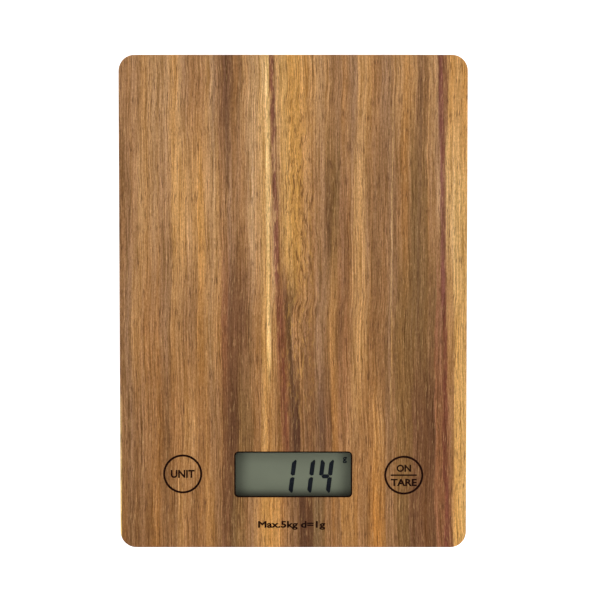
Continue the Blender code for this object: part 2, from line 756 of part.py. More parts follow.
def tube(name, points, radius, look, at=(0, 0, 0), sides=2):
    """A round tube along points, with its ends closed."""
    curve = bpy.data.curves.new(name, "CURVE")
    curve.dimensions = "3D"
    curve.bevel_depth = radius
    curve.bevel_resolution = sides
    curve.use_fill_caps = True
    spline = curve.splines.new("POLY")
    spline.points.add(len(points) - 1)
    for point, place_at in zip(spline.points, points):
        point.co = (*place_at, 1)
    obj = bpy.data.objects.new(name, curve)
    obj.location = at
    curve.materials.append(finish(look))
    bpy.context.scene.collection.objects.link(obj)
    return obj


def make_touch_keys():
    """A copper pad under the thinned wood at each key, and its spring to the circuit board."""
    pad_top = KEY_POCKET_TOP - GAP
    pad_bottom = pad_top - TOUCH_PAD_THICKNESS
    low = BOARD_TOP + SKIN + SPRING_WIRE
    high = pad_bottom - SKIN - SPRING_WIRE
    pitch = (high - low) / (SPRING_TURNS - 1.5)
    points = spring_turns(SPRING_RADIUS, pitch, SPRING_TURNS, 10)
    for key, x in (("unit", -KEY_X), ("tare", KEY_X)):
        pad = cylinder(TOUCH_PAD_RADIUS, pad_bottom, pad_top)
        place(f"{key}_touch_pad", pad, "copper", (x, DISPLAY_Y, 0))
        tube(f"{key}_touch_spring", points, SPRING_WIRE, "steel", (x, DISPLAY_Y, low), 1)


# ---------------------------------------------------------------- battery


def make_battery():
    """Coin cell, its two contacts and their leads."""
    bottom, top = BATTERY_BOTTOM, BATTERY_BOTTOM + BATTERY_THICKNESS
    edge = 0.3 * MM
    cell = turned(
        [
            (0, bottom),
            (BATTERY_RADIUS - edge, bottom),
            (BATTERY_RADIUS, bottom + edge),
            (BATTERY_RADIUS, top - 3 * edge),
            (BATTERY_RADIUS - 1.2 * MM, top - 2 * edge),
            (BATTERY_RADIUS - 1.2 * MM, top),
            (0, top),
        ],
        24,
    )
    at = (0, BATTERY_Y, 0)
    place("coin_cell", cell, "steel", at)
    leaf_z = (CAVITY_TOP - SKIN - CONTACT_SHEET, CAVITY_TOP - SKIN)
    leaf_x = (-LEAF_HALF, LEAF_HALF)
    leaf = fuse(
        block(leaf_x, (-7 * MM, LEAF_END), leaf_z),
        block(leaf_x, (LEAF_END - CONTACT_SHEET, LEAF_END), (leaf_z[0], CONTACT_TOP)),
        block((-1.2 * MM, 1.2 * MM), (-3 * MM, -1 * MM), (top + SKIN, leaf_z[0] + CONTACT_SHEET / 2)),
    )
    place("battery_contact_negative", leaf, "steel", at)
    blade = fuse(
        block((BLADE_X, BLADE_X + CONTACT_SHEET), (-BLADE_HALF, BLADE_HALF), (5.7 * MM, CONTACT_TOP)),
        block((10.25 * MM, 10.8 * MM), (-1.5 * MM, 1.5 * MM), (6.2 * MM, 7 * MM)),
    )
    place("battery_contact_positive", blade, "steel", at)
    make_battery_leads()


def curve_value(p, q, r, s, t):
    """Catmull-Rom value between q (t = 0) and r (t = 1), with neighbours p and s."""
    square = 2 * p - 5 * q + 4 * r - s
    cube = 3 * q - p - 3 * r + s
    return 0.5 * (2 * q + (r - p) * t + square * t**2 + cube * t**3)


def smooth_route(points, spacing):
    """Evenly spaced points along a smooth curve through the given ones."""
    ends = [points[0], *points, points[-1]]
    dense = []
    for a, b, c, d in zip(ends, ends[1:], ends[2:], ends[3:]):
        for step in range(24):
            dense.append(tuple(curve_value(*values, step / 24) for values in zip(a, b, c, d)))
    dense.append(points[-1])
    route, walked = [dense[0]], 0.0
    for before, after in zip(dense, dense[1:]):
        walked += math.dist(before, after)
        if walked >= spacing:
            route.append(after)
            walked = 0.0
    if math.dist(route[-1], dense[-1]) < spacing / 2:
        route.pop()
    return [*route, dense[-1]]


def lead(name, waypoints, radius, look):
    """An insulated lead through way points in millimetres."""
    points = [tuple(value * MM for value in point) for point in waypoints]
    tube(name, smooth_route(points, 6 * radius), radius, look)


def make_battery_leads():
    """The two leads from the battery contacts to the circuit board."""
    radius = 0.5 * MM
    positive = [(11.8, -22, 11.7), (13.6, -26, 11.9), (13, -40, 11.5), (9, -50, 10.6), (7, -57, 10.4)]
    negative = [
        (-0.6, -14.1, 11.3),
        (-3.4, -14.4, 11.8),
        (-5, -19, 12.1),
        (-5.4, -34, 12),
        (-6, -48, 10.9),
        (-6, -57, 10.4),
    ]
    lead("battery_lead_positive", positive, radius, "red_lead")
    lead("battery_lead_negative", negative, radius, "black_lead")


def make_load_cell_leads():
    """The lead of each load cell, over its clamp and along the tray to the circuit board."""
    front = [(47, -71.6, 9.1), (46.6, -68.6, 10), (43, -66, 10.3), (34, -66, 10.1), (26, -67.4, 10.3)]
    rear = [
        (47, 71.6, 9.1),
        (46.4, 68.6, 10),
        (43, 64, 10.2),
        (39, 57, 8.6),
        (37.5, 45, 7.6),
        (38.5, 20, 7.5),
        (37, -10, 7.5),
        (34, -36, 7.7),
        (29, -50, 9),
        (24, -58, 10.2),
    ]
    for corner, (side_x, side_y) in CORNERS.items():
        points = [(side_x * x, y, z) for x, y, z in (rear if side_y > 0 else front)]
        lead(f"load_cell_lead_{corner}", points, LEAD_RADIUS, "white_lead")


def make_battery_door():
    """Door with its own hinge pins and a springy latch tongue. Its origin is on the hinge axis."""
    half = DOOR_THICKNESS / 2
    z = (-half, half)
    plate = block((-DOOR_HALF, DOOR_HALF), (0, DOOR_REACH), z)
    fuse(
        plate,
        cross_bar(half, DOOR_HALF, 0, 0, 12),
        cross_bar(HINGE_PIN_RADIUS, HINGE_PIN_END, 0, 0),
        block((-LATCH_HALF, LATCH_HALF), (DOOR_REACH - PAST, LATCH_REACH), (-half, half - 0.4 * MM)),
        *[block((-9 * MM, 9 * MM), (y, y + MM), (0, half + 0.25 * MM)) for y in DOOR_RIBS_Y],
    )
    slit = LATCH_SLIT
    cut(
        plate,
        *[
            block(
                (side * (LATCH_HALF + slit / 2) - slit / 2, side * (LATCH_HALF + slit / 2) + slit / 2),
                (DOOR_REACH - 6 * MM, DOOR_REACH + PAST),
                (-half - PAST, half + PAST),
            )
            for side in (-1, 1)
        ],
    )
    place("battery_door", plate, "black_abs", (0, HINGE_Y, HINGE_Z))


def make_platform_screws():
    """Screws that hold the platform on the tray from below, with their heads in the tray's wells."""
    screws = copies(screw(2.8 * MM, 2 * MM, 1.45 * MM, 9 * MM), 4)
    for number, (x, y) in enumerate(at_corners(SCREW_X, SCREW_Y), 1):
        made = place(f"platform_screw_{number}", screws[number - 1], "steel", (x, y, SCREW_SEAT - SKIN))
        made.rotation_euler.x = math.pi


def main():
    """Builds the scale."""
    clear_scene()
    make_platform()
    make_lens()
    make_tray()
    make_label()
    make_corner_sets()
    make_board()
    make_display()
    make_touch_keys()
    make_battery()
    make_load_cell_leads()
    make_battery_door()
    make_platform_screws()


main()
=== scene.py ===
"""Looks of a slim wooden kitchen scale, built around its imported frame.

Every size is in metres in the frame's own coordinates: +Z up, +Y away from the reader of the display.
"""

import json
import logging
import math
from collections.abc import Iterable, Sequence
from dataclasses import dataclass
from enum import Enum
from typing import Any

import bmesh
import bpy
from mathutils import Matrix, Vector


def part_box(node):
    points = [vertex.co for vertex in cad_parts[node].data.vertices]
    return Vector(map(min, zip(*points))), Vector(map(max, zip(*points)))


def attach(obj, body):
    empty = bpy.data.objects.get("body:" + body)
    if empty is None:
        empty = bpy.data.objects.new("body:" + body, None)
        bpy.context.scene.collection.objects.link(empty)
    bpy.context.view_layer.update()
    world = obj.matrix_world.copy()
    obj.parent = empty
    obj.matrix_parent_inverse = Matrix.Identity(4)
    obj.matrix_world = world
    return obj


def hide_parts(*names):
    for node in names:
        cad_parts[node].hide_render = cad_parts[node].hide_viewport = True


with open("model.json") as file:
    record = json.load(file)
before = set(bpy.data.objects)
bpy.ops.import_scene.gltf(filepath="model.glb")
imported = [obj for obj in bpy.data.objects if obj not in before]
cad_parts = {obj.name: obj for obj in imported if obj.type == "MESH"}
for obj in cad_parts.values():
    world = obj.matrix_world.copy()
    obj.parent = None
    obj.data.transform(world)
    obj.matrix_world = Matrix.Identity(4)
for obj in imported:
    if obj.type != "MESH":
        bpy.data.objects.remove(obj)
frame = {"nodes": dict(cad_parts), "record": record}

MM = 0.001
PRINT_LIFT = 0.02 * MM
MERGE = 0.001 * MM
SHARP = math.radians(32)
BEVEL_LIMIT = math.radians(40)
BEVEL_SHARP = math.radians(42)
PATTERN_SHARP = math.radians(35)
FLAT = math.radians(0.6)
CORNERS: dict[str, tuple[int, int]] = {
    "front_left": (-1, -1),
    "front_right": (1, -1),
    "rear_left": (-1, 1),
    "rear_right": (1, 1),
}
Point = tuple[float, float]
Rings = Sequence[tuple[Sequence[Point], float]]
Stops = Sequence[tuple[float, Sequence[float]]]
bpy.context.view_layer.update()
log = logging.getLogger("kitchen_scale")


# ---------------------------------------------------------------- node trees


class Value:
    """A node socket that arithmetic can be written on."""

    def __init__(self, graph: "Graph", socket: bpy.types.NodeSocket) -> None:
        """Keeps an output socket and the graph that owns it."""
        self.graph = graph
        self.socket = socket

    def math(self, operation: str, *others: "Value | float") -> "Value":
        """The result of a Math node on this value and others."""
        sockets = dict(enumerate((self, *others)))
        return self.graph.value("ShaderNodeMath", {"operation": operation}, sockets)

    def __add__(self, other: "Value | float") -> "Value":
        """Sum."""
        return self.math("ADD", other)

    __radd__ = __add__

    def __mul__(self, other: "Value | float") -> "Value":
        """Product."""
        return self.math("MULTIPLY", other)

    __rmul__ = __mul__

    def __sub__(self, other: "Value | float") -> "Value":
        """Difference."""
        return self.math("SUBTRACT", other)

    def __rsub__(self, other: float) -> "Value":
        """Difference from a number."""
        return (self * -1.0) + other

    def __truediv__(self, other: float) -> "Value":
        """Quotient by a number."""
        return self * (1.0 / other)

    def rise(self, low: float, high: float) -> "Value":
        """0 at low and 1 at high, with a smooth step between, where high may be the smaller.

        Args:
            low: the value that gives 0.
            high: the value that gives 1.

        Returns:
            The step.
        """
        settings = {"interpolation_type": "SMOOTHSTEP"}
        down = high < low
        sockets = {"Value": self, "From Min": min(low, high), "From Max": max(low, high)}
        step = self.graph.value("ShaderNodeMapRange", settings, sockets)
        return 1 - step if down else step

    def near(self, centre: "Value | float", width: float) -> "Value":
        """1 at the centre, and falling to 0 a width away on both sides."""
        return (self - centre).math("ABSOLUTE").rise(width, 0.0)


class Graph:
    """A node tree with short ways to add nodes."""

    def __init__(self, tree: bpy.types.NodeTree) -> None:
        """Empties a tree, to fill it."""
        self.tree = tree
        tree.nodes.clear()

    def node(
        self, kind: str, settings: dict[str, Any] | None = None, sockets: dict[str | int, Any] | None = None
    ) -> bpy.types.Node:
        """Adds a node.

        Args:
            kind: the node's type.
            settings: its own settings, set first; "stops" holds a ramp's (place, colour) pairs.
            sockets: values or links of its inputs, by name or number.

        Returns:
            The node.
        """
        made = self.tree.nodes.new(kind)
        for name, value in (settings or {}).items():
            if name == "stops":
                fill_ramp(made.color_ramp, value)
            elif name == "interpolation" and kind == "ShaderNodeValToRGB":
                made.color_ramp.interpolation = value
            else:
                setattr(made, name, value)
        for key, value in (sockets or {}).items():
            if isinstance(value, Value):
                self.tree.links.new(value.socket, made.inputs[key])
            elif value is not None:
                made.inputs[key].default_value = value
        return made

    def value(
        self,
        kind: str,
        settings: dict[str, Any] | None = None,
        sockets: dict[str | int, Any] | None = None,
        output: str | int = 0,
    ) -> Value:
        """Adds a node as node() does, and gives the output with this name or number."""
        return Value(self, self.node(kind, settings, sockets).outputs[output])


def fill_ramp(ramp: bpy.types.ColorRamp, stops: Stops) -> None:
    """Gives a colour ramp its stops.

    Args:
        ramp: the ramp.
        stops: (place from 0 to 1, colour with alpha) pairs in rising order.
    """
    while len(ramp.elements) > 1:
        ramp.elements.remove(ramp.elements[-1])
    ramp.elements[0].position = stops[0][0]
    ramp.elements[0].color = stops[0][1]
    for place, colour in stops[1:]:
        ramp.elements.new(place).color = colour


def linear(code: str) -> tuple[float, float, float, float]:
    """A display colour as scene-linear light.

    Args:
        code: six hexadecimal digits.

    Returns:
        Red, green, blue and an alpha of 1.
    """
    parts = [int(code[i : i + 2], 16) / 255 for i in (0, 2, 4)]
    red, green, blue = [c / 12.92 if c <= 0.04045 else ((c + 0.055) / 1.055) ** 2.4 for c in parts]
    return red, green, blue, 1.0


class Paint(Graph):
    """A material under construction, with patterns measured in millimetres."""

    def __init__(self, name: str) -> None:
        """Starts a material.

        Args:
            name: the material's name.
        """
        self.material = bpy.data.materials.new(name)
        self.material.use_nodes = True
        super().__init__(self.material.node_tree)
        metres = self.value("ShaderNodeTexCoord", output="Object")
        self.place = self.scaled(metres, (1 / MM, 1 / MM, 1 / MM))

    def scaled(self, vector: Value, factors: Sequence[float]) -> Value:
        """A vector times a factor for each axis."""
        return self.value("ShaderNodeVectorMath", {"operation": "MULTIPLY"}, {0: vector, 1: tuple(factors)})

    def axes(self) -> tuple[Value, Value, Value]:
        """The three parts of the place in millimetres."""
        node = self.node("ShaderNodeSeparateXYZ", sockets={0: self.place})
        return Value(self, node.outputs[0]), Value(self, node.outputs[1]), Value(self, node.outputs[2])

    def joined(self, x: Value | float, y: Value | float, z: Value | float) -> Value:
        """A vector from its three parts."""
        return self.value("ShaderNodeCombineXYZ", sockets={0: x, 1: y, 2: z})

    def noise(
        self, vector: Value, size: float, detail: float = 2.0, roughness: float = 0.5, bend: float = 0.0
    ) -> Value:
        """Smooth noise around 0.5.

        Args:
            vector: where it is read.
            size: the size of its lumps, in the vector's units.
            detail: how many finer layers it has.
            roughness: how strong those layers are.
            bend: how much it distorts itself.

        Returns:
            The noise.
        """
        sockets = {
            "Vector": vector,
            "Scale": 1 / size,
            "Detail": detail,
            "Roughness": roughness,
            "Distortion": bend,
        }
        return self.value("ShaderNodeTexNoise", None, sockets)

    def cells(self, vector: Value, size: float) -> Value:
        """The distance to the nearest of scattered points, which lie about a size apart."""
        sockets = {"Vector": vector, "Scale": 1 / size}
        return self.value("ShaderNodeTexVoronoi", {"feature": "F1"}, sockets, "Distance")

    def mix(self, factor: Value | float, a: Any, b: Any, mode: str = "MIX") -> Value:
        """Colour b over colour a, by a factor and in a blend mode."""
        settings = {"data_type": "RGBA", "blend_type": mode, "clamp_factor": True}
        return self.value("ShaderNodeMix", settings, {0: factor, 6: a, 7: b}, 2)

    def shaded(self, colour: Any, factor: Value) -> Value:
        """A colour made lighter or darker by a factor around 1."""
        grey = self.value("ShaderNodeCombineColor", None, {0: factor, 1: factor, 2: factor})
        return self.mix(1.0, colour, grey, "MULTIPLY")

    def toned(self, colour: Any, change: Value, balance: Sequence[float] = (0.86, 1.0, 1.35)) -> Value:
        """A colour made lighter or darker by a change around 0, by a different share in each channel."""
        tint = {channel: change * share + 1.0 for channel, share in enumerate(balance)}
        return self.mix(1.0, colour, self.value("ShaderNodeCombineColor", None, tint), "MULTIPLY")

    def contrasted(self, colour: Any, middle: Sequence[float], gain: float) -> Value:
        """A colour moved away from a middle colour.

        Args:
            colour: the colour.
            middle: the colour that stays as it is.
            gain: how many times further away it gets.

        Returns:
            The colour.
        """
        away = self.value("ShaderNodeVectorMath", {"operation": "SUBTRACT"}, {0: colour, 1: tuple(middle)})
        grown = self.scaled(away, (gain, gain, gain))
        return self.value("ShaderNodeVectorMath", {"operation": "ADD"}, {0: grown, 1: tuple(middle)})

    def ramp(self, factor: Value, stops: Stops, stepped: bool = False) -> Value:
        """A colour ramp read at a factor, with sharp steps if wanted."""
        settings = {"interpolation": "CONSTANT" if stepped else "LINEAR", "stops": stops}
        return self.value("ShaderNodeValToRGB", settings, {0: factor})

    def relief(self, height: Value, depth: float) -> Value:
        """A bumped normal from a height that runs from 0 to 1, with a depth in metres."""
        return self.value("ShaderNodeBump", None, {"Strength": 1.0, "Distance": depth, "Height": height})

    def edge_highlight_and_wear(self, spread: float) -> Value:
        """1 on edges that stand proud, and 0 on flat stretches; it masks the painted edge highlight, and the
        worn edges of plastic.

        Args:
            spread: the width of the edge band in metres.

        Returns:
            The mask.
        """
        softer = self.value("ShaderNodeBevel", {"samples": 4}, {"Radius": spread})
        normal = self.value("ShaderNodeNewGeometry", output="Normal")
        sockets = {0: softer, 1: normal}
        dot = self.value("ShaderNodeVectorMath", {"operation": "DOT_PRODUCT"}, sockets, "Value")
        return dot.rise(0.995, 0.9)

    def done(self, **sockets: Any) -> bpy.types.Material:
        """Ends the material in a Principled shader.

        Args:
            sockets: its inputs, with _ for the spaces in their names.

        Returns:
            The material.
        """
        named = {key.replace("_", " "): value for key, value in sockets.items()}
        shader = self.value("ShaderNodeBsdfPrincipled", None, named)
        self.node("ShaderNodeOutputMaterial", None, {"Surface": shader})
        return self.material


# ---------------------------------------------------------------- finishes


class Tone(Enum):
    """Tones of the board's heartwood and sapwood."""

    SMOKE = "5c3c27"
    PEAT = "6d4a30"
    UMBER = "7d573a"
    OLIVE = "87643f"
    BARK = "8f6641"
    ASH = "99704b"
    TAN = "a3764c"
    CLAY = "ad8052"
    HONEY = "b88a59"
    GOLD = "c29057"
    MAIZE = "cb9d64"
    CREAM = "e8bf82"
    SAP = "d2a567"
    RUSSET = "916242"
    WINE = "733d30"
    AMBER = "ab7843"
    STRAW = "c3924f"


@dataclass(frozen=True)
class Section:
    """Tones from the left edge to the right edge, at one place along the board."""

    y: float
    tones: tuple[tuple[float, Tone], ...]


@dataclass(frozen=True)
class Streak:
    """A line of grain that runs the length of the board."""

    tone: Tone
    middle: float
    slant: float
    width: float
    strength: float
    begins: float = -110.0
    ends: float = 110.0
    sway: float = 0.5
    edge: float = 1.0
    broken: float = 0.0


T = Tone
SECTIONS = (
    Section(-90, (
        (-70.5, T.BARK), (-63, T.BARK), (-57, T.ASH), (-52, T.BARK), (-46, T.CLAY), (-43, T.TAN),
        (-40, T.BARK), (-34, T.CLAY), (-31, T.ASH), (-28, T.UMBER), (-24, T.OLIVE), (-19, T.ASH),
        (-15, T.CLAY), (-12, T.GOLD), (-8, T.GOLD), (-4, T.TAN), (0, T.BARK), (3.5, T.PEAT),
        (6.5, T.PEAT), (9, T.OLIVE), (14, T.ASH), (21, T.AMBER), (28, T.TAN), (34, T.AMBER), (39, T.ASH),
        (44, T.OLIVE), (49, T.UMBER), (56, T.UMBER), (60, T.RUSSET), (64, T.RUSSET), (66.5, T.CLAY),
        (70.5, T.SAP),
    )),
    Section(-51, (
        (-70.5, T.ASH), (-67, T.BARK), (-62, T.ASH), (-53, T.BARK), (-47, T.TAN), (-44, T.CLAY),
        (-38, T.ASH), (-34, T.ASH), (-31, T.ASH), (-28, T.UMBER), (-25, T.PEAT), (-21, T.OLIVE),
        (-16, T.TAN), (-13, T.ASH), (-9, T.CLAY), (-6, T.ASH), (-3, T.RUSSET), (-1, T.UMBER),
        (1.3, T.SMOKE), (4, T.BARK), (8, T.BARK), (12, T.UMBER), (16, T.TAN), (24, T.TAN), (34, T.CLAY),
        (38, T.ASH), (43, T.OLIVE), (50, T.UMBER), (55, T.PEAT), (60, T.RUSSET), (65, T.ASH),
        (69, T.MAIZE),
    )),
    Section(-8, (
        (-70.5, T.ASH), (-67, T.ASH), (-64, T.CLAY), (-60, T.TAN), (-53, T.ASH), (-49, T.CLAY),
        (-44, T.ASH), (-38, T.CLAY), (-31, T.CLAY), (-28, T.RUSSET), (-25, T.UMBER), (-21, T.UMBER),
        (-17, T.TAN), (-11, T.HONEY), (-8, T.HONEY), (-5.5, T.RUSSET), (-3, T.RUSSET), (-1.2, T.OLIVE),
        (2, T.TAN), (4, T.CLAY), (7, T.TAN), (11, T.ASH), (15.5, T.CLAY), (19, T.BARK), (24, T.TAN),
        (28, T.HONEY), (32, T.BARK), (38, T.ASH), (43, T.OLIVE), (52, T.OLIVE), (59, T.RUSSET),
        (63, T.CLAY),
    )),
    Section(41, (
        (-70.5, T.BARK), (-65, T.TAN), (-62, T.HONEY), (-59, T.CLAY), (-53, T.TAN), (-48, T.GOLD),
        (-42, T.HONEY), (-38, T.GOLD), (-35, T.CLAY), (-31, T.HONEY), (-28, T.TAN), (-25.5, T.ASH),
        (-21, T.TAN), (-17, T.HONEY), (-13, T.HONEY), (-10, T.MAIZE), (-8, T.HONEY), (-5, T.TAN),
        (-1.2, T.GOLD), (3, T.CLAY), (8, T.TAN), (11, T.TAN), (14.5, T.OLIVE), (17, T.OLIVE), (20, T.ASH),
        (26, T.HONEY), (31, T.ASH), (38, T.BARK), (44, T.TAN), (49, T.OLIVE), (56, T.TAN), (63, T.MAIZE),
    )),
    Section(88, (
        (-70.5, T.ASH), (-65, T.TAN), (-61, T.CLAY), (-53, T.CLAY), (-48, T.HONEY), (-44, T.TAN),
        (-39, T.TAN), (-34, T.CLAY), (-31, T.ASH), (-28, T.UMBER), (-24, T.BARK), (-20, T.CLAY),
        (-17, T.HONEY), (-12, T.MAIZE), (-9, T.CLAY), (-6, T.GOLD), (1, T.GOLD), (7, T.HONEY),
        (12, T.CLAY), (16, T.ASH), (21, T.TAN), (24, T.ASH), (28, T.HONEY), (33, T.TAN), (37, T.ASH),
        (42, T.CLAY), (47, T.CLAY), (51, T.BARK), (56, T.CLAY), (60, T.RUSSET), (63, T.GOLD),
        (70.5, T.GOLD),
    )),
)
STREAKS = (
    Streak(T.STRAW, -0.6, -0.008, 5.2, 0.6, begins=10, sway=0.3, edge=0.4),
    Streak(T.MAIZE, -11.8, -0.004, 1.7, 0.55, sway=0.15, edge=0.5),
    Streak(T.CREAM, -10.1, -0.004, 0.95, 0.95, begins=-30, sway=0.12, edge=0.6),
    Streak(T.WINE, -6.3, -0.025, 1.45, 0.85, begins=2, sway=0.2, edge=0.6, broken=0.75),
    Streak(T.WINE, -5.9, -0.05, 1.9, 0.7, begins=-62, ends=4, sway=0.2, edge=0.6, broken=0.6),
    Streak(T.SMOKE, -2.9, -0.078, 1.25, 0.8, ends=8, sway=0.3, edge=0.7),
    Streak(T.UMBER, 4.4, -0.06, 3.6, 0.6, begins=-70, ends=-4, sway=0.3, edge=0.5, broken=0.3),
    Streak(T.UMBER, 7.8, 0.0, 0.55, 0.6, begins=84, sway=0.1),
    Streak(T.PEAT, 14.0, 0.004, 2.0, 0.55, begins=16, ends=52, sway=0.3, edge=0.4),
    Streak(T.PEAT, 17.0, 0.01, 0.5, 0.6, begins=24, ends=42, sway=0.2),
    Streak(T.RUSSET, 20.5, 0.004, 2.8, 0.4, begins=-60, ends=50, sway=0.3, edge=0.4),
    Streak(T.GOLD, 25.8, 0.006, 2.4, 0.5, begins=-50, ends=56, sway=0.3, edge=0.4),
    Streak(T.BARK, 34.0, 0.004, 5.4, 0.45, begins=-40, ends=70, sway=0.4, edge=0.3),
    Streak(T.MAIZE, 39.8, 0.004, 0.5, 0.6, begins=-50, ends=80, sway=0.2),
    Streak(T.WINE, 61.0, -0.016, 1.4, 0.85, sway=0.8, edge=0.6, broken=0.3),
    Streak(T.PEAT, 55.4, -0.004, 0.7, 0.6, ends=15),
    Streak(T.UMBER, -29.5, 0.0, 1.2, 0.6, begins=20),
    Streak(T.SMOKE, -27.0, 0.0, 1.6, 0.5, begins=45),
    Streak(T.GOLD, -35.3, 0.0, 0.7, 0.35, sway=0.3),
    Streak(T.PEAT, 50.6, 0.012, 0.9, 0.5),
    Streak(T.OLIVE, 46.8, 0.01, 1.0, 0.45, begins=-30, ends=80),
)


@dataclass(frozen=True)
class Grain:
    """One layer of noise that is drawn out along the grain, and how much it lightens and darkens."""

    size: float
    stretch: float
    detail: float
    roughness: float
    change: float = 0.0
    bend: float = 0.0

    def read(self, paint: Paint, x: Value, y: Value, z: Value) -> Value:
        """The layer's noise at a place."""
        place = paint.joined(x, y * self.stretch, z)
        return paint.noise(place, self.size, self.detail, self.roughness, self.bend)


@dataclass(frozen=True)
class Acacia:
    """Oiled acacia, sawn along the grain: bands across the board, streaks, fibres, pores and sapwood."""

    half_width: float = 70.5
    top: float = 20.0
    crispness: float = 0.7
    step_shift: float = 0.011
    middle: tuple[float, float, float] = (0.37, 0.19, 0.077)
    contrast: float = 1.14
    front_tint: tuple[float, float, float, float] = (0.995, 0.935, 0.8, 1.0)
    rear_tint: tuple[float, float, float, float] = (1.0, 1.0, 0.98, 1.0)
    fade: float = 12.0
    fibre: Grain = Grain(1.05, 0.012, 5, 0.78, 1.35)
    strand: Grain = Grain(3.2, 0.03, 3, 0.6, 0.6)
    hair: Grain = Grain(0.5, 0.014, 3, 0.75, 3.2)
    hue: Grain = Grain(7, 0.025, 3, 0.6, 1.2)
    vessel: Grain = Grain(0.46, 0.07, 2, 0.65)
    speckle: Grain = Grain(0.5, 0.4, 2, 0.8, 1.3)
    curl: Grain = Grain(1.2, 0.2, 3, 0.65, bend=0.5)
    relief: float = 0.05 * MM

    def bands(self, paint: Paint, x: Value, y: Value) -> Value:
        """The broad bands, blended from one section of the board to the next.

        Args:
            paint: the material.
            x: the place across the grain, swayed.
            y: the place along the grain.

        Returns:
            The colour.
        """
        width = 2 * self.half_width
        across = (x + self.half_width) / width
        colour: Value | None = None
        for before, section in zip((None, *SECTIONS), SECTIONS):
            stops = [((at + self.half_width) / width, linear(tone.value)) for at, tone in section.tones]
            stepped = paint.ramp(across + self.step_shift, stops, True)
            here = paint.mix(self.crispness, paint.ramp(across, stops), stepped)
            colour = here if before is None else paint.mix(y.rise(before.y, section.y), colour, here)
        return colour

    def streaked(self, paint: Paint, colour: Value, x: Value, y: Value, wander: Value) -> Value:
        """The streaks over the bands.

        Args:
            paint: the material.
            colour: the colour below.
            x: the place across the grain.
            y: the place along the grain.
            wander: a slow noise along the grain.

        Returns:
            The colour.
        """
        gaps = paint.noise(paint.joined(x * 1.1, y * 0.16, 0.0), 1.3, 3, 0.65).rise(0.47, 0.58)
        for streak in STREAKS:
            path = y * streak.slant + streak.middle + (wander - 0.5) * (4 * streak.sway)
            aside = (x - path).math("ABSOLUTE")
            mask = aside.rise(streak.width, streak.width * (1 - streak.edge)) * streak.strength
            if streak.broken:
                mask = mask * (1 - gaps * streak.broken)
            mask = mask * y.rise(streak.begins - self.fade, streak.begins + self.fade)
            mask = mask * y.rise(streak.ends + self.fade, streak.ends - self.fade)
            colour = paint.mix(mask, colour, linear(streak.tone.value))
        return colour

    def sapwood(self, paint: Paint, colour: Value, x: Value, y: Value, wander: Value) -> Value:
        """The pale sapwood of the two long edges.

        Args:
            paint: the material.
            colour: the colour below.
            x: the place across the grain.
            y: the place along the grain.
            wander: a slow noise along the grain.

        Returns:
            The colour.
        """
        edge = y * -0.006 + 65.0 + (wander - 0.5) * 1.5
        right = (x - edge).rise(-0.3, 0.5) * y.rise(62, 36) * 0.85
        colour = paint.mix(right, colour, linear("d3a566"))
        left = (x * -1 + (wander - 0.5) * 1.2).rise(69.3, 70.1) * y.rise(-30, -52) * 0.9
        return paint.mix(left, colour, linear("e2c489"))

    def material(self) -> bpy.types.Material:
        """The board's material.

        Returns:
            The material.
        """
        paint = Paint("acacia")
        x, y, z = paint.axes()
        depth = z * -1 + self.top
        wander = paint.noise(paint.joined(x * 0.12, y, depth * 0.3), 42, 3, 0.55)
        ripple = paint.noise(paint.joined(x * 0.5, y, depth), 13, 3, 0.62)
        figured = x.near(2.0, 11.0) * y.rise(-60, -20) * y.rise(98, 60)
        sway = (wander - 0.5) * 4 + (ripple - 0.5) * (figured * 2.2 + 0.15)
        across = x + sway + depth * 0.35
        fibre = self.fibre.read(paint, across, y, depth)
        strand = self.strand.read(paint, across, y, depth)
        colour = self.bands(paint, across + (fibre - 0.5) * 5.0 + (strand - 0.5) * 4.0, y)
        colour = paint.contrasted(colour, self.middle, self.contrast)
        frayed = x + (fibre - 0.5) * 1.6 + (ripple - 0.5) * 0.8
        colour = self.streaked(paint, colour, frayed, y, wander)
        colour = self.sapwood(paint, colour, x + (fibre - 0.5) * 2.0, y, wander)
        tint = paint.mix(y.rise(45, -60), self.rear_tint, self.front_tint)
        colour = paint.mix(1.0, colour, tint, "MULTIPLY")

        colour = paint.toned(colour, (fibre - 0.5) * self.fibre.change)
        colour = paint.toned(colour, (strand - 0.5) * self.strand.change)
        hair = self.hair.read(paint, across, y, depth)
        colour = paint.toned(colour, (hair - 0.5) * self.hair.change + 0.06)
        hue = self.hue.read(paint, across, y, depth)
        colour = paint.toned(colour, (hue - 0.5) * self.hue.change - 0.03, (-0.12, 0.3, 1.3))
        vessel = self.vessel.read(paint, across, y, depth)
        colour = paint.mix(vessel.rise(0.55, 0.67) * 0.66, colour, linear("54301a"))
        colour = paint.mix(vessel.rise(0.43, 0.3) * 0.35, colour, linear("dfb075"))
        speckle = self.speckle.read(paint, x, y, depth)
        colour = paint.toned(colour, (speckle - 0.5) * self.speckle.change)
        curl = self.curl.read(paint, across * 1.2, y, depth)
        colour = paint.mix(curl.rise(0.54, 0.63) * figured * 0.9, colour, linear("6b431f"))
        colour = paint.mix(curl.rise(0.46, 0.36) * figured * 0.5, colour, linear("d9a250"))

        pores = vessel.rise(0.55, 0.72)
        return paint.done(
            Base_Color=colour,
            Roughness=(fibre - 0.5) * 0.25 + pores * 0.2 + 0.5,
            Normal=paint.relief(fibre * 0.5 + hair * 0.3 - pores * 0.6, self.relief),
            Specular_IOR_Level=0.16,
        )


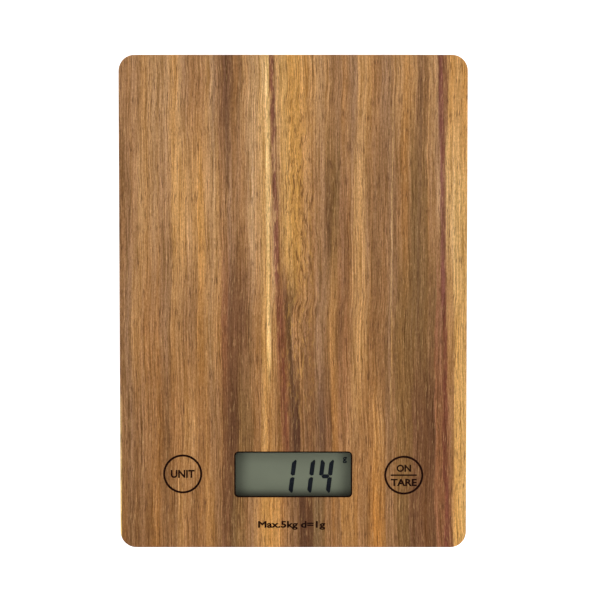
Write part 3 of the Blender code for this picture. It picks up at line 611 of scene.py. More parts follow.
@dataclass(frozen=True)
class Char:
    """Wood burnt by a laser: dark brown, matt and finely pitted."""

    colour: str = "170704"

    def material(self) -> bpy.types.Material:
        """The burnt wood's material.

        Returns:
            The material.
        """
        paint = Paint("charred_wood")
        x, y, z = paint.axes()
        soot = paint.noise(paint.joined(x, y * 0.3, z), 0.5, 3, 0.6)
        colour = paint.mix(soot.rise(0.4, 0.8) * 0.7, linear(self.colour), linear("3c1a0b"))
        pits = paint.noise(paint.place, 0.22, 2)
        normal = paint.relief(pits, 0.05 * MM)
        rough = soot * 0.2 + 0.75
        return paint.done(Base_Color=colour, Roughness=rough, Normal=normal, Specular_IOR_Level=0.05)


@dataclass(frozen=True)
class Moulded:
    """Injection-moulded plastic with a fine spark-eroded grain, dust, and edges lightened partly as wear and
    partly as a painted highlight.
    """

    name: str
    colour: str
    rubbed_and_highlight: str
    roughness: float = 0.5
    grain: float = 0.35

    def material(self) -> bpy.types.Material:
        """The plastic's material.

        Returns:
            The material.
        """
        paint = Paint(self.name)
        cloud = paint.noise(paint.place, 22, 3)
        speck = paint.noise(paint.place, self.grain, 2, 0.6)
        swirl = paint.noise(paint.scaled(paint.place, (1, 0.4, 1)), 3.2, 3, 0.6, 0.5)
        base = paint.mix(cloud.rise(0.35, 0.7) * 0.35, linear(self.colour), linear(self.rubbed_and_highlight))
        # Edges lightened towards the paler colour: partly wear, partly a painted edge highlight.
        base = paint.mix(paint.edge_highlight_and_wear(0.25 * MM) * 0.45, base, linear(self.rubbed_and_highlight))
        dust = swirl.rise(0.6, 0.78) * 0.06
        base = paint.mix(dust, base, linear("b8b2a6"))
        rough = (cloud - 0.5) * 0.12 + (speck - 0.5) * 0.1 + self.roughness
        return paint.done(Base_Color=base, Roughness=rough, Normal=paint.relief(speck, 0.02 * MM))


@dataclass(frozen=True)
class SoftRubber:
    """Matt elastomer with picked-up dust and a scuffed tread."""

    name: str
    colour: str
    dusty: str
    striped: bool = False

    def material(self) -> bpy.types.Material:
        """The rubber's material.

        Returns:
            The material.
        """
        paint = Paint(self.name)
        x, _, z = paint.axes()
        cloud = paint.noise(paint.place, 5, 4, 0.6)
        speck = paint.noise(paint.place, 0.3, 2)
        colour = paint.mix(cloud.rise(0.5, 0.8) * 0.5, linear(self.colour), linear(self.dusty))
        if self.striped:
            layer = (x * 12.0).math("SINE").rise(-0.2, 0.4)
            colour = paint.mix(layer * 0.75, colour, linear("17181a"))
        else:
            colour = paint.mix(z.rise(0.5, 0.0) * 0.3, colour, linear(self.dusty))
        rough = (cloud - 0.5) * 0.15 + 0.82
        return paint.done(Base_Color=colour, Roughness=rough, Normal=paint.relief(speck, 0.03 * MM))


@dataclass(frozen=True)
class Metal:
    """Rolled, plated or stamped metal: brushing along one axis, stains, fine scratches and a painted
    highlight along its edges.
    """

    name: str
    colour: str
    stain: str
    roughness: float = 0.3
    brush: tuple[float, float, float] = (1.0, 0.04, 1.0)

    def material(self) -> bpy.types.Material:
        """The metal's material.

        Returns:
            The material.
        """
        paint = Paint(self.name)
        lines = paint.noise(paint.scaled(paint.place, self.brush), 0.18, 3, 0.65)
        cloud = paint.noise(paint.place, 6, 4, 0.6)
        scratch = paint.noise(paint.scaled(paint.place, (0.12, 2.4, 0.5)), 0.6, 1, 0.5, 0.6).rise(0.7, 0.76)
        colour = paint.shaded(linear(self.colour), (lines - 0.5) * 0.18 + 1.0)
        colour = paint.mix(cloud.rise(0.52, 0.8) * 0.4, colour, linear(self.stain))
        # Painted highlight: edges lightened to near white.
        colour = paint.mix(paint.edge_highlight_and_wear(0.12 * MM) * 0.4, colour, linear("f2f1ee"))
        rough = (cloud - 0.5) * 0.2 + (lines - 0.5) * 0.2 + scratch * 0.15 + self.roughness
        return paint.done(
            Base_Color=colour, Metallic=1.0, Roughness=rough, Normal=paint.relief(lines, 0.006 * MM)
        )


@dataclass(frozen=True)
class ClearSheet:
    """Clear acrylic sheet with a few dust specks and wiping marks."""

    def material(self) -> bpy.types.Material:
        """The sheet's material.

        Returns:
            The material.
        """
        paint = Paint("clear_acrylic")
        speck = paint.cells(paint.place, 2.6).rise(0.05, 0.03)
        wiped = paint.noise(paint.scaled(paint.place, (0.3, 1.6, 1)), 2.5, 3).rise(0.5, 0.85)
        return paint.done(
            Base_Color=paint.mix(speck, linear("14181a"), linear("8b8b84")),
            Roughness=wiped * 0.06 + 0.04,
            Alpha=speck * 0.15 + wiped * 0.02 + 0.06,
            Normal=paint.relief(wiped, 0.002 * MM),
        )


@dataclass(frozen=True)
class DisplayGlass:
    """Glass of a reflective segment display under its polariser: grey-green, satin, with painted shade of the
    window's recess along its left, right and lower edges.
    """

    colour: str = "7f8570"
    half_width: float = 25.3
    middle: float = -69.5

    def material(self) -> bpy.types.Material:
        """The glass's material.

        Returns:
            The material.
        """
        paint = Paint("display_glass")
        x, y, _ = paint.axes()
        cloud = paint.noise(paint.place, 14, 3)
        grain = paint.noise(paint.place, 0.16, 1)
        colour = paint.mix(cloud.rise(0.3, 0.8) * 0.5, linear(self.colour), linear("767c68"))
        # Painted shade of the window's recess: darker towards the left and right edges, and towards the lower
        # edge.
        rim = x.math("ABSOLUTE").rise(self.half_width - 9, self.half_width - 0.5)
        low = (y - self.middle).rise(-6.5, -10.0)
        colour = paint.mix(rim * 0.6, colour, linear("3f4133"))
        colour = paint.mix(low * 0.75, colour, linear("2e2a20"))
        colour = paint.shaded(colour, (grain - 0.5) * 0.1 + 1.0)
        return paint.done(
            Base_Color=colour, Roughness=(grain - 0.5) * 0.1 + 0.45, Normal=paint.relief(grain, 0.004 * MM)
        )


@dataclass(frozen=True)
class SegmentInk:
    """A switched-on segment: blue-black, a little uneven."""

    def material(self) -> bpy.types.Material:
        """The segment's material.

        Returns:
            The material.
        """
        paint = Paint("display_segment")
        cloud = paint.noise(paint.place, 1.2, 2)
        colour = paint.mix(cloud, linear("05080f"), linear("0b1420"))
        return paint.done(Base_Color=colour, Roughness=cloud * 0.1 + 0.5, Specular_IOR_Level=0.2)


@dataclass(frozen=True)
class SolderMask:
    """Circuit board under green solder mask, with tracks and ground fill that show through it."""

    def material(self) -> bpy.types.Material:
        """The board's material.

        Returns:
            The material.
        """
        paint = Paint("circuit_board")
        x, y, _ = paint.axes()
        cloud = paint.noise(paint.place, 10, 3)
        warp = (paint.noise(paint.place, 9, 1) - 0.5) * 6
        lanes = ((y + warp.math("SNAP", 1.4)) * (math.pi / 0.9)).math("SINE").rise(0.2, 0.5)
        cross = ((x + warp.math("SNAP", 2.1)) * (math.pi / 1.2)).math("SINE").rise(0.6, 0.8)
        region = paint.noise(paint.place, 8, 0).rise(0.46, 0.5)
        tracks = lanes * region + cross * (1 - region)
        colour = paint.mix(cloud.rise(0.3, 0.7), linear("0c3b22"), linear("12482a"))
        colour = paint.mix(tracks * 0.7, colour, linear("2f7a45"))
        pads = paint.cells(paint.scaled(paint.place, (1, 1, 0)), 5.5).rise(0.09, 0.07)
        colour = paint.mix(pads, colour, linear("c9c6bb"))
        return paint.done(
            Base_Color=colour,
            Roughness=cloud * 0.15 + 0.28,
            Metallic=pads * 0.9,
            Normal=paint.relief(tracks * 0.6 + pads, 0.03 * MM),
        )


@dataclass(frozen=True)
class Epoxy:
    """Poured or moulded black epoxy."""

    name: str
    roughness: float

    def material(self) -> bpy.types.Material:
        """The epoxy's material.

        Returns:
            The material.
        """
        paint = Paint(self.name)
        cloud = paint.noise(paint.place, 2.4, 3)
        speck = paint.noise(paint.place, 0.2, 2)
        colour = paint.mix(cloud.rise(0.4, 0.8), linear("15161a"), linear("23252a"))
        rough = (cloud - 0.5) * 0.2 + self.roughness
        normal = paint.relief(cloud + speck * 0.2, 0.03 * MM)
        return paint.done(Base_Color=colour, Roughness=rough, Normal=normal)


@dataclass(frozen=True)
class LabelFilm:
    """Blank silver label with a thin printed border."""

    half_width: float
    half_length: float
    middle: float

    def material(self) -> bpy.types.Material:
        """The film's material.

        Returns:
            The material.
        """
        paint = Paint("label_film")
        x, y, _ = paint.axes()
        across = x.math("ABSOLUTE")
        along = (y - self.middle).math("ABSOLUTE")
        inset = 2.2
        rim = (across - self.half_width).math("MAXIMUM", along - self.half_length)
        border = rim.near(-inset, 0.22)
        ended = across.rise(self.half_width - 4, self.half_width - 4.4)
        rule = (along - 5.0).math("ABSOLUTE").rise(0.16, 0.1) * ended
        cloud = paint.noise(paint.scaled(paint.place, (0.25, 1, 1)), 0.8, 4, 0.6)
        colour = paint.mix(cloud.rise(0.3, 0.8), linear("b9bcc0"), linear("a7aaaf"))
        colour = paint.mix(border.math("MAXIMUM", rule) * 0.9, colour, linear("26282b"))
        rough = cloud * 0.12 + 0.3
        normal = paint.relief(cloud, 0.004 * MM)
        return paint.done(Base_Color=colour, Roughness=rough, Metallic=0.55, Normal=normal)


@dataclass(frozen=True)
class Insulation:
    """Lead insulation: smooth vinyl with slight waviness and finger marks."""

    name: str
    colour: str
    worn: str

    def material(self) -> bpy.types.Material:
        """The insulation's material.

        Returns:
            The material.
        """
        paint = Paint(self.name)
        cloud = paint.noise(paint.place, 3.0, 3)
        speck = paint.noise(paint.place, 0.35, 2)
        colour = paint.mix(cloud.rise(0.45, 0.8) * 0.5, linear(self.colour), linear(self.worn))
        rough = (cloud - 0.5) * 0.2 + 0.42
        return paint.done(Base_Color=colour, Roughness=rough, Normal=paint.relief(speck, 0.015 * MM))


# ---------------------------------------------------------------- shapes


def rounded(
    width: float, length: float, radius: float, steps: int = 12, at: Point = (0.0, 0.0)
) -> list[Point]:
    """Outline of a rectangle with arc corners, anticlockwise from above.

    Args:
        width: the size along X.
        length: the size along Y.
        radius: the corners' radius.
        steps: the number of sides of each corner.
        at: the middle.

    Returns:
        The outline's points.
    """
    points = []
    for corner in range(4):
        side_x = 1 if corner in (0, 3) else -1
        side_y = 1 if corner in (0, 1) else -1
        for step in range(steps + 1):
            angle = (corner + step / steps) * math.pi / 2
            x = side_x * (width / 2 - radius) + radius * math.cos(angle)
            y = side_y * (length / 2 - radius) + radius * math.sin(angle)
            points.append((at[0] + x, at[1] + y))
    return points


def solid(name: str, shape: bmesh.types.BMesh) -> bpy.types.Object:
    """A bmesh as a smooth-shaded object whose faces point outwards.

    Args:
        name: the object's name.
        shape: the bmesh, which is used up.

    Returns:
        The object.
    """
    bmesh.ops.remove_doubles(shape, verts=shape.verts, dist=MERGE / 10)
    bmesh.ops.recalc_face_normals(shape, faces=shape.faces)
    mesh = bpy.data.meshes.new(name)
    shape.to_mesh(mesh)
    shape.free()
    return shown(name, mesh)


def shown(name: str, mesh: bpy.types.Mesh) -> bpy.types.Object:
    """A mesh as a named object in the scene, with smooth faces and sharp edges.

    Args:
        name: the object's name.
        mesh: the mesh.

    Returns:
        The object.
    """
    mesh.name = name
    mesh.shade_smooth()
    mesh.set_sharp_from_angle(angle=SHARP)
    made = bpy.data.objects.new(name, mesh)
    bpy.context.scene.collection.objects.link(made)
    return made


def add_prism(shape: bmesh.types.BMesh, rings: Rings) -> None:
    """Adds a closed solid through outlines of equal length to a bmesh.

    Args:
        shape: the bmesh.
        rings: (outline, height) pairs from one end to the other.
    """
    loops = [[shape.verts.new((x, y, z)) for x, y in points] for points, z in rings]
    for below, above in zip(loops, loops[1:]):
        for i in range(len(below)):
            j = (i + 1) % len(below)
            shape.faces.new((below[i], below[j], above[j], above[i]))
    shape.faces.new(loops[0][::-1])
    shape.faces.new(loops[-1])


def stacked(name: str, rings: Rings) -> bpy.types.Object:
    """A solid through outlines of equal length, each at its own height.

    Args:
        name: the object's name.
        rings: (outline, height) pairs from one end to the other.

    Returns:
        The object.
    """
    shape = bmesh.new()
    add_prism(shape, rings)
    return solid(name, shape)


def turned(name: str, profile: Sequence[Point], at: Point = (0.0, 0.0), steps: int = 64) -> bpy.types.Object:
    """A solid of revolution about a vertical axis.

    Args:
        name: the object's name.
        profile: (radius, height) points that start and end on the axis, or a closed ring of them.
        at: the axis.
        steps: the number of sides.

    Returns:
        The object.
    """
    closed = profile[0] == profile[-1]
    points = list(profile[:-1]) if closed else list(profile)
    shape = bmesh.new()
    verts = [shape.verts.new((radius, 0, z)) for radius, z in points]
    ends = verts[1:] + verts[:1] if closed else verts[1:]
    edges = [shape.edges.new(pair) for pair in zip(verts, ends)]
    bmesh.ops.spin(shape, geom=verts + edges, axis=(0, 0, 1), angle=2 * math.pi, steps=steps)
    bmesh.ops.translate(shape, verts=shape.verts, vec=(*at, 0))
    return solid(name, shape)


def arc(centre: Point, radius: float, start: float, end: float, steps: int = 5) -> list[Point]:
    """Points of an arc in the plane, from one angle in degrees to another."""
    angles = [math.radians(start + (end - start) * step / steps) for step in range(steps + 1)]
    return [(centre[0] + radius * math.cos(a), centre[1] + radius * math.sin(a)) for a in angles]


def baked(obj: bpy.types.Object) -> bpy.types.Object:
    """Applies an object's modifiers.

    Args:
        obj: the object.

    Returns:
        The same object, with a plain mesh.
    """
    graph = bpy.context.evaluated_depsgraph_get()
    mesh = bpy.data.meshes.new_from_object(obj.evaluated_get(graph))
    obj.modifiers.clear()
    obj.data = mesh
    mesh.name = obj.name
    return obj


def cut(base: bpy.types.Object, tools: Iterable[bpy.types.Object]) -> bpy.types.Object:
    """Cuts tools from a solid. The cut faces keep the tools' materials.

    Args:
        base: the solid.
        tools: the tools, which are used up.

    Returns:
        The solid.
    """
    used = list(tools)
    for tool in used:
        step = base.modifiers.new("step", "BOOLEAN")
        step.operation = "DIFFERENCE"
        step.solver = "EXACT"
        step.material_mode = "TRANSFER"
        step.use_self = True
        step.object = tool
    baked(base)
    for tool in used:
        bpy.data.objects.remove(tool)
    shape = bmesh.new()
    shape.from_mesh(base.data)
    bmesh.ops.remove_doubles(shape, verts=shape.verts, dist=MERGE)
    bmesh.ops.dissolve_degenerate(shape, edges=shape.edges, dist=MERGE)
    shape.to_mesh(base.data)
    shape.free()
    base.data.set_sharp_from_angle(angle=SHARP)
    return base


def softened(obj: bpy.types.Object, width: float) -> bpy.types.Object:
    """Rounds a solid's sharp edges.

    Args:
        obj: the solid.
        width: the rounding's width.

    Returns:
        The solid.
    """
    step = obj.modifiers.new("soften", "BEVEL")
    step.width = width
    step.segments = 2
    step.limit_method = "ANGLE"
    step.angle_limit = BEVEL_LIMIT
    baked(obj)
    obj.data.shade_smooth()
    obj.data.set_sharp_from_angle(angle=BEVEL_SHARP)
    return obj


class Pattern(Graph):
    """A Geometry Nodes tree with named sizes, which ends in one plain mesh."""

    def __init__(self, name: str) -> None:
        """Starts a tree.

        Args:
            name: the name of the tree and of the piece that it makes.
        """
        super().__init__(bpy.data.node_groups.new(name, "GeometryNodeTree"))
        self.name = name
        self.values: dict[str, Any] = {}
        for direction in ("INPUT", "OUTPUT"):
            self.tree.interface.new_socket("Geometry", in_out=direction, socket_type="NodeSocketGeometry")
        self.group = self.node("NodeGroupInput")

    def given(self, name: str, value: Any, kind: str = "NodeSocketFloat") -> Value:
        """Adds a named input.

        Args:
            name: the input's name.
            value: what this piece sets it to.
            kind: the socket's type.

        Returns:
            The input, to be used in the tree.
        """
        socket = self.tree.interface.new_socket(name, in_out="INPUT", socket_type=kind)
        self.values[socket.identifier] = value
        return Value(self, self.group.outputs[name])

    def host(self) -> Value:
        """The geometry of the object that carries the tree."""
        return Value(self, self.group.outputs["Geometry"])

    def outward(self) -> Value:
        """A turn about Z that points an instance's X away from the middle.

        Returns:
            The turn.
        """
        place = self.value("GeometryNodeInputPosition")
        parts = self.node("ShaderNodeSeparateXYZ", sockets={0: place})
        angle = Value(self, parts.outputs[1]).math("ARCTAN2", Value(self, parts.outputs[0]))
        return self.value("ShaderNodeCombineXYZ", sockets={2: angle})

    def line(self, count: int, start: Sequence[float], step: Any) -> Value:
        """A row of points."""
        sockets = {"Count": count, "Start Location": start, "Offset": step}
        return self.value("GeometryNodeMeshLine", None, sockets)

    def ring(self, count: int, radius: Value) -> Value:
        """A ring of points."""
        return self.value("GeometryNodeMeshCircle", None, {"Vertices": count, "Radius": radius})

    def block(self, width: Any, length: Any, height: Any, columns: int = 2) -> Value:
        """A box, with some columns of vertices."""
        size = self.value("ShaderNodeCombineXYZ", sockets={0: width, 1: length, 2: height})
        return self.value("GeometryNodeMeshCube", None, {"Size": size, "Vertices X": columns})

    def together(self, parts: Iterable[Value]) -> Value:
        """Geometries as one.

        Args:
            parts: the geometries.

        Returns:
            The whole.
        """
        joint = self.node("GeometryNodeJoinGeometry")
        for part in parts:
            self.tree.links.new(part.socket, joint.inputs[0])
        return Value(self, joint.outputs[0])

    def on_points(self, points: Value, instance: Value, turn: Value | None = None) -> Value:
        """An instance on each point."""
        sockets = {"Points": points, "Instance": instance, "Rotation": turn}
        return self.value("GeometryNodeInstanceOnPoints", None, sockets)

    def moved(self, geometry: Value, offset: Value) -> Value:
        """The geometry at an offset."""
        return self.value("GeometryNodeTransform", None, {"Geometry": geometry, "Translation": offset})

    def piece(
        self, geometry: Value, material: bpy.types.Material, spots: Sequence[Sequence[float]] = ()
    ) -> bpy.types.Object:
        """Ends the tree and bakes it to a mesh.

        Args:
            geometry: what the tree makes.
            material: its finish.
            spots: the points of the object that carries the tree.

        Returns:
            The piece.
        """
        real = self.value("GeometryNodeRealizeInstances", None, {0: geometry})
        look = self.given("Finish", material, "NodeSocketMaterial")
        dressed = self.value("GeometryNodeSetMaterial", None, {"Geometry": real, "Material": look})
        self.node("NodeGroupOutput", None, {0: dressed})
        mesh = bpy.data.meshes.new(self.name)
        mesh.from_pydata([tuple(spot) for spot in spots], [], [])
        carrier = bpy.data.objects.new(self.name, mesh)
        bpy.context.scene.collection.objects.link(carrier)
        modifier = carrier.modifiers.new(self.name, "NODES")
        modifier.node_group = self.tree
        for identifier, value in self.values.items():
            modifier[identifier] = value
        baked(carrier)
        carrier.data.shade_smooth()
        carrier.data.set_sharp_from_angle(angle=PATTERN_SHARP)
        return carrier


def levelled(obj: bpy.types.Object) -> bpy.types.Object:
    """Weights a solid's normals by face area, so that large flat faces shade flat.

    Args:
        obj: the solid.

    Returns:
        The solid.
    """
    step = obj.modifiers.new("level", "WEIGHTED_NORMAL")
    step.mode = "FACE_AREA"
    step.weight = 100
    step.keep_sharp = True
    return baked(obj)


def refined(node: str, rounding: float = 0.0) -> bpy.types.Object:
    """A copy of a frame node with merged vertices, whole faces and, if wanted, rounded edges.

    Args:
        node: the node's name.
        rounding: the width of the rounding.

    Returns:
        The copy.
    """
    shape = bmesh.new()
    shape.from_mesh(frame["nodes"][node].data)
    bmesh.ops.remove_doubles(shape, verts=shape.verts, dist=2 * MERGE)
    bmesh.ops.dissolve_limit(shape, angle_limit=FLAT, verts=shape.verts, edges=shape.edges)
    mesh = bpy.data.meshes.new(node)
    shape.to_mesh(mesh)
    shape.free()
    made = shown(f"{node}_shape", mesh)
    if rounding:
        softened(made, rounding)
    return levelled(made)


def middle_of(node: str) -> Vector:
    """The middle of a frame node's box."""
    low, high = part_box(node)
    return (low + high) / 2


def lettering(
    name: str, words: str, size: Point, at: Point, heights: Point, weight: float = 0.0
) -> bpy.types.Object:
    """Words as an upright solid.

    Args:
        name: the object's name.
        words: the words.
        size: their width and height.
        at: their middle.
        heights: the solid's low and high face.
        weight: how far the strokes are thickened, as a share of the letters' size.

    Returns:
        The object.
    """
    curve = bpy.data.curves.new(name, "FONT")
    curve.body = words
    curve.extrude = 0.5
    curve.offset = weight
    curve.resolution_u = 4
    temporary = bpy.data.objects.new(name, curve)
    bpy.context.scene.collection.objects.link(temporary)
    graph = bpy.context.evaluated_depsgraph_get()
    mesh = bpy.data.meshes.new_from_object(temporary.evaluated_get(graph))
    bpy.data.objects.remove(temporary)
    low = Vector([min(v.co[i] for v in mesh.vertices) for i in range(3)])
    high = Vector([max(v.co[i] for v in mesh.vertices) for i in range(3)])
    wide, tall, thick = size[0] / (high.x - low.x), size[1] / (high.y - low.y), heights[1] - heights[0]
    middle = (low + high) / 2
    centre = Vector((*at, (heights[0] + heights[1]) / 2))
    scale = Matrix.Diagonal((wide, tall, thick, 1))
    mesh.transform(Matrix.Translation(centre) @ scale @ Matrix.Translation(-middle))
    shape = bmesh.new()
    shape.from_mesh(mesh)
    bmesh.ops.remove_doubles(shape, verts=shape.verts, dist=MERGE)
    bmesh.ops.dissolve_degenerate(shape, edges=shape.edges, dist=MERGE)
    shape.to_mesh(mesh)
    shape.free()
    return shown(name, mesh)


def painted(obj: bpy.types.Object, material: bpy.types.Material) -> bpy.types.Object:
    """Gives an object one material, in place of any that it has.

    Args:
        obj: the object.
        material: the material.

    Returns:
        The object.
    """
    obj.data.materials.clear()
    obj.data.materials.append(material)
    return obj


class Palette:
    """The finish of each slot of the record."""

    def __init__(self) -> None:
        """Makes the materials."""
        self.looks: dict[str, bpy.types.Material] = {
            "acacia": Acacia().material(),
            "black_abs": Moulded("black_abs", "151517", "2f2f32").material(),
            "grey_abs": Moulded("grey_abs", "3b3c3e", "5d5e60").material(),
            "gauge_coat": SoftRubber("gauge_coat", "d8d7d0", "aaa79d").material(),
            "clear_acrylic": ClearSheet().material(),
            "lcd_glass": DisplayGlass().material(),
            "silicone": SoftRubber("zebra_rubber", "5c5d60", "77787a", True).material(),
            "foot_rubber": SoftRubber("foot_rubber", "1d1d1f", "4a4843").material(),
            "steel": Metal("plated_steel", "c3c4c6", "8f8c86").material(),
            "copper": Metal("copper_foil", "d98a5e", "8a5236", 0.35).material(),
            "fibreglass": SolderMask().material(),
            "epoxy": Epoxy("black_epoxy", 0.3).material(),
            "label_film": LabelFilm(half_width=31, half_length=15, middle=42).material(),
            "red_lead": Insulation("red_vinyl", "a3110f", "c23a30").material(),
            "black_lead": Insulation("black_vinyl", "141416", "333336").material(),
            "white_lead": Insulation("white_vinyl", "d9d7cf", "b4ae9f").material(),
        }
        for part in frame["record"]["subparts"]:
            painted(frame["nodes"][part["node"]], self.looks[part["material_slot"]])

    def put(self, piece: bpy.types.Object, slot: str, *nodes: str, body: str = "scale") -> None:
        """Puts a finished piece on a body and hides what it stands for.

        Args:
            piece: the piece.
            slot: the record's finish, which it gets unless it has its own.
            nodes: the frame's nodes that it replaces.
            body: the body that it rides on.
        """
        if not piece.data.materials:
            painted(piece, self.looks[slot])
        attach(piece, body)
        if nodes:
            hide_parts(*nodes)
        log.info("%s on %s, in place of %s", piece.name, body, ", ".join(nodes) or "nothing")


# ---------------------------------------------------------------- studio


@dataclass
class Studio:
    """Pale floor, four soft lights and a camera that looks down on the scale."""

    lens: float = 85.0
    distance: float = 574.1 * MM
    lean: float = 2.1
    aside: Point = (2.75 * MM, 1.05 * MM)
    nearest: float = 10 * MM
    floor_half: float = 1.6
    floor_thickness: float = 10 * MM
    floor_gap: float = 0.02 * MM
    floor_glow: float = 0.7
    light_distance: float = 0.95
    light_height: float = 0.8
    light_size: Point = (0.9, 0.6)
    side_power: float = 5.9
    front_power: float = 3.6
    rear_power: float = 5.4
    sky_strength: float = 0.18

    def floor(self) -> None:
        """Lays the floor."""
        half = self.floor_half
        points = [(-half, -half), (half, -half), (half, half), (-half, half)]
        plane = stacked("studio_floor", [(points, -self.floor_thickness), (points, -self.floor_gap)])
        paint = Paint("studio_paper")
        mottle = paint.noise(paint.place, 60, 3)
        paper = paint.mix(mottle, linear("fbfbfa"), linear("ffffff"))
        glow = {"Emission_Color": paper, "Emission_Strength": self.floor_glow}
        painted(plane, paint.done(Base_Color=paper, Roughness=0.9, **glow))

    def lights(self) -> None:
        """Hangs a soft light on each side, stronger at the left and right, under a dim sky."""
        side, front, rear = self.side_power, self.front_power, self.rear_power
        sides = {(-1, 0): side, (1, 0): side, (0, -1): front, (0, 1): rear}
        for (x, y), power in sides.items():
            lamp = bpy.data.lights.new("softbox", "AREA")
            lamp.shape = "RECTANGLE"
            lamp.size, lamp.size_y = self.light_size
            lamp.energy = power
            box = bpy.data.objects.new("softbox", lamp)
            box.location = (x * self.light_distance, y * self.light_distance, self.light_height)
            box.rotation_euler = (Vector((0, 0, 0)) - box.location).to_track_quat("-Z", "Y").to_euler()
            bpy.context.scene.collection.objects.link(box)
        world = bpy.data.worlds.new("studio")
        world.use_nodes = True
        sky = world.node_tree.nodes["Background"]
        sky.inputs["Color"].default_value = (1.0, 1.0, 1.0, 1.0)
        sky.inputs["Strength"].default_value = self.sky_strength
        bpy.context.scene.world = world
        bpy.context.scene.view_settings.view_transform = "Standard"

    def camera(self, surface: float) -> None:
        """Sets the camera over the middle of the scale.

        Args:
            surface: the height that it looks at.
        """
        data = bpy.data.cameras.new("camera")
        data.lens = self.lens
        data.clip_start = self.nearest
        eye = bpy.data.objects.new("camera", data)
        lean = math.radians(self.lean)
        offset = Vector((0, math.sin(lean), math.cos(lean))) * self.distance
        eye.location = Vector((*self.aside, surface)) + offset
        eye.rotation_euler = (-lean, 0, 0)
        bpy.context.scene.collection.objects.link(eye)
        bpy.context.scene.camera = eye


# ---------------------------------------------------------------- platform


@dataclass(frozen=True)
class Word:
    """Words burnt into the board: their width and height, their middle and how bold they are."""

    name: str
    text: str
    size: Point
    at: Point
    weight: float


